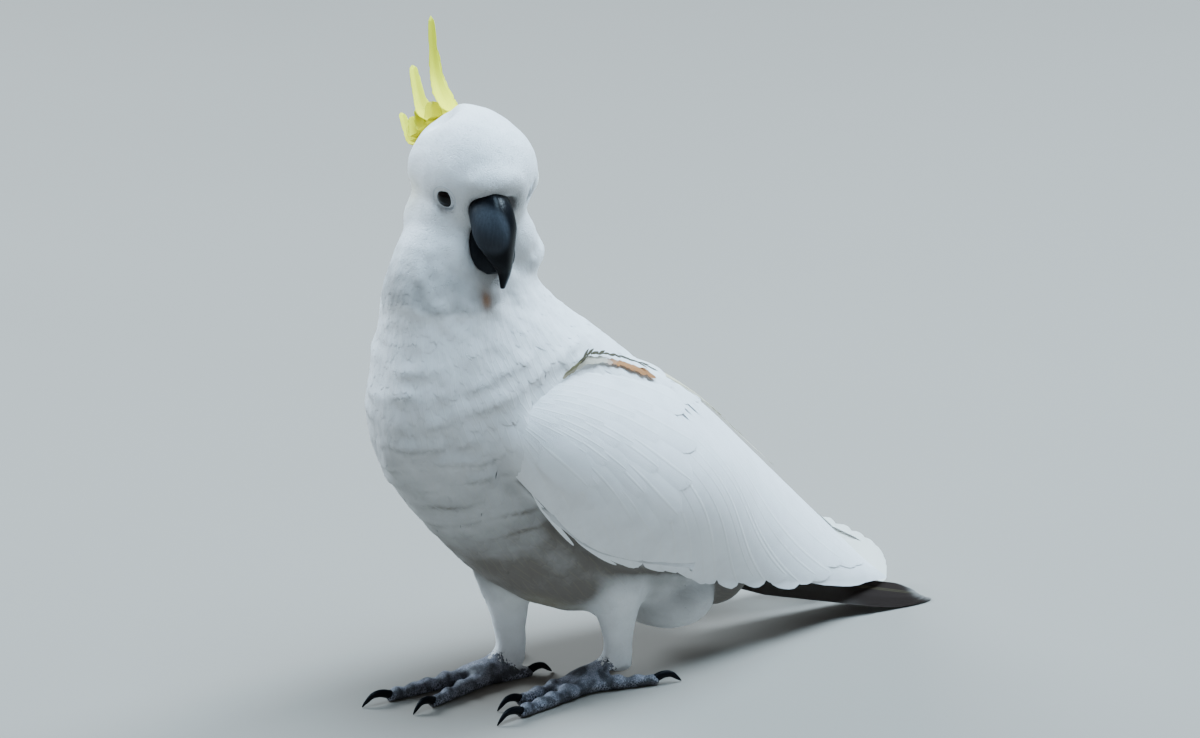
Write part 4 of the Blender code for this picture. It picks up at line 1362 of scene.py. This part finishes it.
def barbs_group():
    """Marks on a vane: its barbs as slanting lines, its shaft, its rim and its height."""
    outputs = dict.fromkeys(("Lines", "Shaft", "Rim", "Height"), "F")
    tree, given, result = new_group("feather_barbs", {"Vane": ("V", None), "Barbs": ("F", None)}, outputs)
    along, across, _ = put(tree, "SeparateXYZ", {0: given["Vane"]})
    side = sums(tree, "ABSOLUTE", sums(tree, "MULTIPLY_ADD", across, 2.0, -1.0))
    slant = sums(tree, "MULTIPLY_ADD", side, -0.22, along)
    slant = sums(tree, "MULTIPLY_ADD", noise(tree, given["Vane"], 7.0, 2.0), 0.05, slant)
    turns = sums(tree, "MULTIPLY", given["Barbs"], 6.283)
    lines = sums(tree, "MULTIPLY_ADD", sums(tree, "SINE", sums(tree, "MULTIPLY", slant, turns)), 0.5, 0.5)
    shaft = ramp(tree, side, 0.10, 0.02)
    rim = sums(tree, "MAXIMUM", ramp(tree, side, 0.72, 1.0), ramp(tree, along, 0.86, 1.0))
    height = sums(tree, "MULTIPLY_ADD", lines, 0.35, shaft)
    wire(tree, result, {"Lines": lines, "Shaft": shaft, "Rim": rim, "Height": height})


def plumage_group():
    """The colour of plumage: white, greyed, yellowed and blushed by the marks, and varied from
    feather to feather and in soft clouds. A little grey along each vane's rim is painted shade."""
    inputs = {"Place": ("V", None), "Marks": ("C", None), "Chance": ("F", 0.5), "Rim": ("F", 0.0),
              "Shaft": ("F", 0.0)}
    inputs.update(dict.fromkeys(("White", "Grey", "Yellow", "Blush"), ("C", None)))
    tree, given, result = new_group("plumage_colour", inputs, {"Colour": "C"})
    grey, yellow, blush = put(tree, "SeparateColor", {0: given["Marks"]})
    shade = sums(tree, "MULTIPLY_ADD", noise(tree, given["Place"], 55.0, 4.0, 0.6), 0.28, -0.12)
    shade = sums(tree, "ADD", shade, sums(tree, "MULTIPLY_ADD", given["Chance"], 0.03, -0.015))
    # Painted shade: a little grey along each vane's rim.
    shade = sums(tree, "MULTIPLY_ADD", given["Rim"], 0.02, shade)
    grey = put(tree, "Clamp", {0: sums(tree, "ADD", grey, shade)})[0]
    colour = mixed(tree, grey, given["White"], given["Grey"])
    colour = mixed(tree, yellow, colour, given["Yellow"])
    colour = mixed(tree, blush, colour, given["Blush"])
    colour = mixed(tree, sums(tree, "MULTIPLY", given["Shaft"], 0.03), colour, given["Yellow"])
    wire(tree, result, {"Colour": colour})


def grain_group():
    """Fine relief of skin and horn: noise and cells, with the cells' edges as a mask."""
    inputs = {"Place": ("V", None), "Cells": ("F", None), "Grain": ("F", None)}
    tree, given, result = new_group("scaly_grain", inputs, dict.fromkeys(("Height", "Crevice", "Cloud"), "F"))
    place = given["Place"]
    cells = put(tree, "TexVoronoi", {"Vector": place, "Scale": given["Cells"]}, feature="DISTANCE_TO_EDGE")
    crevice = ramp(tree, cells[0], 0.16, 0.0)
    depth = sums(tree, "MULTIPLY", crevice, -0.8)
    height = sums(tree, "MULTIPLY_ADD", noise(tree, place, given["Grain"], 5.0), 0.5, depth)
    wire(tree, result, {"Height": height, "Crevice": crevice, "Cloud": noise(tree, place, 120.0, 5.0)})


def scaly(tree, cells, grain):
    """The shared grain, with cells and noise of these scales, and the place it is read at."""
    place = object_place(tree)
    return use_group(tree, "scaly_grain", {"Place": place, "Cells": cells, "Grain": grain}), place


def plumage_material(name, colours, barbs, bump, sheen, specular):
    """White plumage: the shared colour, and this many barbs along a vane."""
    tree, shader = new_material(name)
    marks = marks_of(tree)
    vane = put(tree, "UVMap", uv_map="vane")[0]
    pattern = use_group(tree, "feather_barbs", {"Vane": vane, "Barbs": barbs})
    values = {"Place": object_place(tree), "Marks": marks["Color"], "Chance": marks["Alpha"],
              "Rim": pattern["Rim"], "Shaft": pattern["Shaft"], **colours}
    wire(tree, shader, {"Base Color": use_group(tree, "plumage_colour", values)[0],
                        "Normal": relief(tree, pattern["Height"], bump, 0.0004),
                        "Roughness": sums(tree, "MULTIPLY_ADD", pattern["Lines"], 0.12, 0.62),
                        "Sheen Weight": sheen, "Specular IOR Level": specular})


def crest_material(root, tip):
    """Yellow crest feathers, whose colour changes from root to tip and from feather to feather."""
    tree, shader = new_material("crest_yellow")
    vane = put(tree, "UVMap", uv_map="vane")[0]
    pattern = use_group(tree, "feather_barbs", {"Vane": vane, "Barbs": 60})
    along = ramp(tree, put(tree, "SeparateXYZ", {0: vane})[0], 0.45, 0.92)
    lines = sums(tree, "MULTIPLY", pattern["Lines"], 0.12)
    varied = sums(tree, "MULTIPLY_ADD", marks_of(tree)["Alpha"], 0.20, lines)
    colour = mixed(tree, along, root, tip)
    wire(tree, shader, {"Base Color": mixed(tree, varied, colour, (0.92, 0.86, 0.02, 1)),
                        "Normal": relief(tree, pattern["Height"], 0.5, 0.0003),
                        "Roughness": sums(tree, "MULTIPLY_ADD", pattern["Lines"], 0.15, 0.5),
                        "Specular IOR Level": 0.12})


def horn_material(name, dark, pale):
    """Horn: near black and glossy, with a pale bluish powder over the face of the bill."""
    tree, shader = new_material(name)
    grain, place = scaly(tree, 260, 700)
    fibre = noise(tree, put(tree, "Mapping", {"Vector": place, "Scale": (900, 900, 90)})[0], 1.0, 3.0)
    share = put(tree, "SeparateColor", {0: marks_of(tree)["Color"]})[0]
    share = sums(tree, "MULTIPLY", share, ramp(tree, fibre, 0.3, 0.7, 0.7, 1.0))
    colour = mixed(tree, share, rgba(dark), rgba(pale))
    colour = mixed(tree, sums(tree, "MULTIPLY", fibre, 0.3), colour, rgba(dark, 0.5))
    rough = sums(tree, "MULTIPLY_ADD", share, 0.35, 0.26)
    height = sums(tree, "MULTIPLY_ADD", fibre, 0.6, sums(tree, "MULTIPLY", grain["Height"], 0.4))
    wire(tree, shader, {"Base Color": colour, "Normal": relief(tree, height, 0.25, 0.0003),
                        "Roughness": sums(tree, "MULTIPLY_ADD", fibre, 0.12, rough),
                        "Specular IOR Level": 0.07})


def foot_material(name, dark, pale):
    """Scaly foot skin: dark creases between bluish-grey cells, dusty in clouds, and darker towards the floor.
    """
    tree, shader = new_material(name)
    grain, place = scaly(tree, 900, 1500)
    dust = ramp(tree, grain["Cloud"], 0.35, 0.68)
    colour = mixed(tree, dust, rgba(dark), rgba(pale))
    colour = mixed(tree, sums(tree, "MULTIPLY", grain["Crevice"], 0.6), colour, rgba(dark, 0.4))
    # Darker within 9 mm of the floor.
    height = put(tree, "SeparateXYZ", {0: place})[2]
    wire(tree, shader, {"Base Color": mixed(tree, ramp(tree, height, 0.009, 0.002), colour, rgba(dark, 0.3)),
                        "Normal": relief(tree, grain["Height"], 0.6, 0.0004),
                        "Roughness": ramp(tree, dust, 0, 1, 0.45, 0.75)})


def skin_material(colours, dark, pale):
    """The skin: down with the coat's own markings where feathers cover it, scaly on the feet."""
    tree, shader = new_material("skin_and_down")
    grain, place = scaly(tree, 700, 900)
    marks = marks_of(tree)
    down = use_group(tree, "plumage_colour", {"Place": place, "Marks": marks["Color"], **colours})[0]
    foot = mixed(tree, ramp(tree, grain["Cloud"], 0.35, 0.65), rgba(dark), rgba(pale))
    foot = mixed(tree, sums(tree, "MULTIPLY", grain["Crevice"], 0.7), foot, rgba(dark, 0.4))
    wire(tree, shader, {"Base Color": mixed(tree, marks["Alpha"], down, foot),
                        "Normal": relief(tree, grain["Height"], 0.6, 0.0005),
                        "Roughness": ramp(tree, marks["Alpha"], 0, 1, 0.8, 0.55)})


def lid_material(colour):
    """Bare skin round the eye: pale, faintly blue, with fine creases."""
    tree, shader = new_material("eye_ring_skin")
    grain, _ = scaly(tree, 1400, 1800)
    shade = mixed(tree, grain["Cloud"], rgba(colour), rgba(colour, 0.82))
    shade = mixed(tree, sums(tree, "MULTIPLY", grain["Crevice"], 0.25), shade, rgba(colour, 0.6))
    wire(tree, shader, {"Base Color": shade, "Normal": relief(tree, grain["Height"], 0.4, 0.0002),
                        "Roughness": ramp(tree, grain["Crevice"], 0, 1, 0.5, 0.7)})


def eye_material(iris, pupil):
    """A dark brown iris with fine rays round a black pupil, and a smooth gloss."""
    tree, shader = new_material("eye_dark")
    angle = put(tree, "SeparateColor", {0: marks_of(tree)["Color"]})[0]
    rays = noise(tree, object_place(tree), 1800.0, 3.0)
    share = sums(tree, "MULTIPLY", ramp(tree, angle, 0.10, 0.16), ramp(tree, rays, 0.3, 0.7, 0.4, 1.0))
    wire(tree, shader, {"Base Color": mixed(tree, share, rgba(pupil), rgba(iris)),
                        "Roughness": ramp(tree, rays, 0, 1, 0.06, 0.12), "Specular IOR Level": 0.16})


# ---------------------------------------------------------------- settings


def colour_property(label, description, default):
    """A colour among the settings."""
    return FloatVectorProperty(name=label, description=description, default=default, subtype="COLOR", min=0,
                               max=1)


class PlumageSettings(bpy.types.PropertyGroup):
    """Settings of the skin and the feathers."""

    voxel: FloatProperty(name="Skin detail", description="Size of the cells that join the flesh in one skin",
                         default=1.7, min=1.0, max=4.0)
    density: FloatProperty(name="Spacing", description="Share of the natural distance between feathers",
                           default=1.0, min=0.6, max=3.0)
    lift: FloatProperty(name="Lift", description="Share of how far feathers stand off the skin", default=1.0,
                        min=0.2, max=2.0)
    seed: IntProperty(name="Seed", description="Start of the random draws", default=7, min=0)
    white: colour_property("White", "Clean plumage", (0.88, 0.89, 0.905))
    grey: colour_property("Grey", "Shaded and soiled plumage", (0.15, 0.130, 0.114))
    yellow: colour_property("Yellow", "Tint of the ear, the crest's bed and the quills", (0.86, 0.76, 0.36))
    blush: colour_property("Blush", "Soiled feathers under the bill and ochre down", (0.38, 0.15, 0.04))
    tail: colour_property("Tail", "Worn and shaded tail feathers", (0.05, 0.041, 0.036))
    crest: colour_property("Crest", "Crest feathers at their root", (0.97, 0.90, 0.015))
    crest_tip: colour_property("Crest tip", "Crest feathers at their tip", (0.92, 0.90, 0.03))


class HornSettings(bpy.types.PropertyGroup):
    """Colours of the bill, the claws, the feet and the eyes."""

    dark: colour_property("Horn", "Glossy horn of the hook and the claws", (0.004, 0.0045, 0.006))
    powder: colour_property("Powder", "Pale dust on the bill's face", (0.050, 0.057, 0.070))
    foot_dark: colour_property("Foot, dark", "Foot skin in its folds", (0.05, 0.05, 0.062))
    foot_pale: colour_property("Foot, pale", "Dusty foot skin", (0.36, 0.37, 0.445))
    iris: colour_property("Iris", "Ring round the pupil", (0.008, 0.005, 0.004))
    ring: colour_property("Eye ring", "Bare skin round the eye", (0.78, 0.81, 0.85))


class StageSettings(bpy.types.PropertyGroup):
    """Settings of the floor and the camera."""

    floor: colour_property("Floor", "Plain floor", (0.29, 0.26, 0.228))
    distance: FloatProperty(name="Distance", description="From the camera to the bird", default=3.5,
                            unit="LENGTH", min=1)
    azimuth: FloatProperty(name="Azimuth", description="Camera's turn round the bird",
                           default=math.radians(50), subtype="ANGLE", unit="ROTATION")
    elevation: FloatProperty(name="Elevation", description="Camera's height as an angle",
                             default=math.radians(18), subtype="ANGLE", unit="ROTATION")
    view_width: FloatProperty(name="Width seen", description="Width of the view at the bird",
                              default=1200 / 1.72 * MM, unit="LENGTH", min=0.1)


# ---------------------------------------------------------------- operators


class COCKATOO_OT_looks(bpy.types.Operator):
    """Makes the shared node groups and the materials."""

    bl_idname = "cockatoo.looks"
    bl_label = "Materials"

    def execute(self, context):
        s, h = context.scene.cockatoo_plumage, context.scene.cockatoo_horn
        for make in (barbs_group, plumage_group, grain_group):
            make()
        colours = {name: rgba(getattr(s, name.lower())) for name in ("White", "Grey", "Yellow", "Blush")}
        plumage_material("plumage_short", colours, 26, 0.2, 0.15, 0.25)
        plumage_material("plumage_long", colours, 110, 0.25, 0.15, 0.25)
        # Painted shade of the wing over the tail, with some wear: the tail's white, grey and blush are
        # darker.
        tail_wear_and_shade = {"White": (0.30, 0.27, 0.25, 1), "Grey": rgba(s.tail), "Blush": (0.016, 0.010, 0.008, 1)}
        plumage_material("plumage_tail", {**colours, **tail_wear_and_shade}, 110, 0.25, 0.0, 0.04)
        crest_material(rgba(s.crest), rgba(s.crest_tip))
        horn_material("bill_horn", h.dark, h.powder)
        horn_material("claw_horn", h.dark, h.powder)
        foot_material("foot_scales", h.foot_dark, h.foot_pale)
        skin_material(colours, h.foot_dark, h.foot_pale)
        lid_material(h.ring)
        eye_material(h.iris, (0.002, 0.002, 0.002))
        return {"FINISHED"}


class COCKATOO_OT_skin(bpy.types.Operator):
    """Grows one skin round the flesh and unwraps it."""

    bl_idname = "cockatoo.skin"
    bl_label = "Skin"

    def execute(self, context):
        skin = make_skin(context.scene.cockatoo_plumage.voxel)
        unwrap(skin)
        points = read(skin.data)
        bare = bare_foot(points)
        set_marks(skin.data, np.column_stack([markings(points), bare]))
        flesh = [n for n in FLESH if not n.startswith("wing")]
        finish(skin, bpy.data.materials["skin_and_down"], "white_feather", *flesh)
        return {"FINISHED"}


def eye_gap(points):
    """Distance from the nearer eye's middle, and the way to it."""
    best, to = np.full(len(points), 1e9), np.zeros_like(points)
    for _, side in SIDES:
        away = from_eye(np.zeros(3), side) - points
        gap = np.linalg.norm(away, axis=1) + (3.4 if side > 0 else 0)  # the left eye's ring is smaller
        nearer = gap < best
        best[nearer], to[nearer] = gap[nearer], away[nearer]
    return best, to


def in_bill(points):
    """Whether points are in or very near the bill."""
    head = bird_to_head(points)
    inside = np.zeros(len(points), bool)
    for path, side, depth in BILL.values():
        a = np.linspace(0, 1, 60)
        line = np.zeros((60, 3))
        line[:, 1:] = rail(path, a)
        gap = np.linalg.norm(head[:, None] - line[None], axis=2)
        inside |= (gap < (rail(depth, a) + rail(side, a))[None] / 2 + 0.4).any(1)
    return inside


class COCKATOO_OT_contour_feathers(bpy.types.Operator):
    """Covers head, neck, trunk and thighs with contour feathers."""

    bl_idname = "cockatoo.contour_feathers"
    bl_label = "Contour feathers"

    def execute(self, context):
        s = context.scene.cockatoo_plumage
        skin = bpy.data.objects["skin"]
        look = bpy.data.materials["plumage_short"]

        def spacing(points):
            upwards = np.zeros_like(points) + (0, 0, 1)
            return plumage(points, upwards)[1] * s.density

        def keep(points):
            return bare_foot(points) < 0.12

        place, normal, on_map = scatter(skin, spacing, keep, s.seed)
        gap, to_eye = eye_gap(place)
        winged, where = wing_share(place, 8.0)
        u, q = where.T
        edge = (u < 0.04) | (q < 0.10 * smooth(0.6 - u, 0, 0.25)) | (q > 0.96)
        ok = (gap > EYE_CLEAR) & ~in_bill(place) & ((winged < 0.5) | edge)
        place, normal, on_map, gap, to_eye = (v[ok] for v in (place, normal, on_map, gap, to_eye))
        way, _, length, half, lift, on_head, share, leg = plumage(place, normal)
        towards = (way * unit(to_eye)).sum(1)
        room = np.where(towards > 0.3, np.maximum(gap - EYE_TIPS, 1.5), 99)
        room = np.where(leg > 0.3, np.minimum(room, np.maximum(place[:, 2] - 8, 1.5)), room)
        length = np.minimum(length, room)
        lift = lift * s.lift
        low_head = place[:, 2] < HEAD_CENTRE[2] - 10
        body = on_head <= 0.55
        trunk = body & (share >= 0.48) & (leg < 0.5)
        regions = {
            "crown": ~body & ~low_head,
            "face": ~body & low_head,
            "neck": body & (share < 0.26),
            "breast": body & (share >= 0.26) & (share < 0.48) & (leg < 0.5),
            "trunk_left": trunk & (place[:, 0] > 0),
            "trunk_right": trunk & (place[:, 0] <= 0),
            "thighs": body & (leg >= 0.5) & (share >= 0.26),
        }
        for number, (name, mine) in enumerate(regions.items()):
            if not mine.any():
                continue
            roots = place[mine], normal[mine], on_map[mine]
            settings = tuple(v[mine] for v in (way, length, half, lift))
            rows, columns = (5, 5) if name in ("crown", "face", "neck", "thighs") else (7, 7)
            feather_coat(f"coat_{name}", skin, roots, look, settings, rows, columns, s.seed + number)
        return {"FINISHED"}


class COCKATOO_OT_wings(bpy.types.Operator):
    """Lays the coverts, secondaries and primaries of both wings, and what lies on and beyond them."""

    bl_idname = "cockatoo.wings"
    bl_label = "Wings"

    def execute(self, context):
        look = bpy.data.materials["plumage_long"]
        for name, side in SIDES:
            rng = np.random.default_rng(context.scene.cockatoo_plumage.seed + 20 + side)
            make_flight_feathers(name, side, look, rng)
            make_wing_coverts(name, side, look, rng)
        make_far_tip(look, np.random.default_rng(29))
        make_slit(bpy.data.materials["plumage_short"])
        make_loose_feathers(look, np.random.default_rng(30))
        return {"FINISHED"}


class COCKATOO_OT_tail(bpy.types.Operator):
    """Lays the twelve tail feathers."""

    bl_idname = "cockatoo.tail"
    bl_label = "Tail"

    def execute(self, context):
        make_tail(bpy.data.materials["plumage_tail"], np.random.default_rng(31))
        return {"FINISHED"}


class COCKATOO_OT_crest(bpy.types.Operator):
    """Makes the crest feathers."""

    bl_idname = "cockatoo.crest"
    bl_label = "Crest"

    def execute(self, context):
        make_crest(bpy.data.materials["crest_yellow"], np.random.default_rng(32))
        return {"FINISHED"}


class COCKATOO_OT_bill(bpy.types.Operator):
    """Makes both halves of the bill."""

    bl_idname = "cockatoo.bill"
    bl_label = "Bill"

    def execute(self, context):
        for part in BILL:
            make_bill(part, bpy.data.materials["bill_horn"])
        return {"FINISHED"}


class COCKATOO_OT_eyes(bpy.types.Operator):
    """Makes the eyeballs and their lids."""

    bl_idname = "cockatoo.eyes"
    bl_label = "Eyes"

    def execute(self, context):
        for name, side in SIDES:
            make_eye(name, side, bpy.data.materials["eye_dark"])
            make_lids(name, side, bpy.data.materials["eye_ring_skin"])
        return {"FINISHED"}


class COCKATOO_OT_feet(bpy.types.Operator):
    """Covers the feet with scales and makes the claws."""

    bl_idname = "cockatoo.feet"
    bl_label = "Feet"

    def execute(self, context):
        skin = bpy.data.objects["skin"]

        def spacing(points):
            return np.full(len(points), 1.35)

        def keep(points):
            return (bare_foot(points) > 0.8) & (points[:, 2] > 1.2)

        place, normal, on_map = scatter(skin, spacing, keep, 41)
        way = foot_flow(place, normal)
        size = 1.0 + 0.25 * smooth(normal[:, 2], 0.2, 0.8)
        settings = (way, 2.3 * size, 1.1 * size, np.full(len(place), 0.14))
        look = bpy.data.materials["foot_scales"]
        feather_coat("foot_scales_coat", skin, (place, normal, on_map), look, settings, 4, 5, 42, "grey_skin")
        make_claws(bpy.data.materials["claw_horn"])
        return {"FINISHED"}


def set_frame(made, axes, place):
    """Turns an object's X, Y and Z along axes and sets it at a place."""
    made.matrix_world = Matrix([[*v, p] for v, p in zip(np.stack(axes, 1), place)] + [[0, 0, 0, 1]])


class COCKATOO_OT_stage(bpy.types.Operator):
    """Sets the floor, the lights and the camera."""

    bl_idname = "cockatoo.stage"
    bl_label = "Stage"

    def execute(self, context):
        s = context.scene.cockatoo_stage
        scene = context.scene
        aim = (np.array((23.5, 21.0, 196.2)) + SHIFT) * MM
        across = np.array((math.cos(s.azimuth), math.sin(s.azimuth), 0))
        level = math.cos(s.elevation)
        back = np.array((math.sin(s.azimuth) * level, -math.cos(s.azimuth) * level, math.sin(s.elevation)))
        up = np.cross(back, across)
        camera = new_object("camera", bpy.data.cameras.new("camera"))
        camera.data.sensor_width = 36
        camera.data.lens = 36 * s.distance / s.view_width
        set_frame(camera, (across, up, back), aim + back * s.distance)
        scene.camera = camera
        corners = np.array([(-8, -8, 0), (8, -8, 0), (8, 8, 0), (-8, 8, 0)], float) / MM - SHIFT
        corners[:, 2] = -SHIFT[2]
        floor = add_mesh("floor", corners, np.array([[0, 1, 2, 3]]))
        tree, shader = new_material("floor_plain")
        tone = mixed(tree, noise(tree, object_place(tree), 3.0, 4.0), rgba(s.floor), rgba(s.floor, 0.94))
        wire(tree, shader, {"Base Color": tone, "Roughness": 0.9, "Specular IOR Level": 0.1})
        floor.data.materials.append(bpy.data.materials["floor_plain"])
        # Lamps: name, place, width, power and colour.
        lamps = (("key", (0.3, 2.3, 2.4), 1.2, 190, (0.64, 0.83, 1.0)),
                 ("fill", (-2.6, -0.9, 2.0), 1.8, 180, (0.70, 0.86, 1.0)),
                 ("front", (2.4, -1.6, 0.9), 1.6, 5, (0.85, 0.93, 1.0)),
                 ("top", (0.4, 0.1, 3.0), 2.0, 225, (0.55, 0.79, 1.0)))
        for name, place, size, power, colour in lamps:
            data = bpy.data.lights.new(name, "AREA")
            data.shape = "DISK"
            data.size = size
            data.energy = power
            data.color = colour
            z = unit(np.array(place) - aim)
            x = unit(np.cross((0, 0, 1), z))
            set_frame(new_object(name, data), (x, np.cross(z, x), z), place)
        world = bpy.data.worlds.new("studio")
        scene.world = world
        world.use_nodes = True
        tree = world.node_tree
        wire(tree, tree.nodes["Background"], {"Color": (0.80, 0.86, 0.95, 1), "Strength": 0.12})
        return {"FINISHED"}


class COCKATOO_PT_panel(bpy.types.Panel):
    """Lists the settings and the steps in the sidebar."""

    bl_label = "Cockatoo"
    bl_idname = "COCKATOO_PT_panel"
    bl_space_type = "VIEW_3D"
    bl_region_type = "UI"
    bl_category = "Cockatoo"

    def draw(self, context):
        scene = context.scene
        for settings in (scene.cockatoo_plumage, scene.cockatoo_horn, scene.cockatoo_stage):
            box = self.layout.box()
            for key in settings.__annotations__:
                box.prop(settings, key)
        for step in STEPS:
            self.layout.operator(step.bl_idname)


STEPS = (COCKATOO_OT_stage, COCKATOO_OT_looks, COCKATOO_OT_skin, COCKATOO_OT_contour_feathers,
         COCKATOO_OT_wings, COCKATOO_OT_tail, COCKATOO_OT_crest, COCKATOO_OT_bill, COCKATOO_OT_eyes,
         COCKATOO_OT_feet)
CLASSES = (PlumageSettings, HornSettings, StageSettings, *STEPS, COCKATOO_PT_panel)


def register():
    for item in CLASSES:
        bpy.utils.register_class(item)
    bpy.types.Scene.cockatoo_plumage = PointerProperty(type=PlumageSettings)
    bpy.types.Scene.cockatoo_horn = PointerProperty(type=HornSettings)
    bpy.types.Scene.cockatoo_stage = PointerProperty(type=StageSettings)


def unregister():
    del bpy.types.Scene.cockatoo_stage
    del bpy.types.Scene.cockatoo_horn
    del bpy.types.Scene.cockatoo_plumage
    for item in reversed(CLASSES):
        bpy.utils.unregister_class(item)


def main():
    """Registers the add-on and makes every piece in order."""
    register()
    for step in STEPS:
        area, name = step.bl_idname.split(".")
        getattr(getattr(bpy.ops, area), name)()


if __name__ == "__main__":
    main()
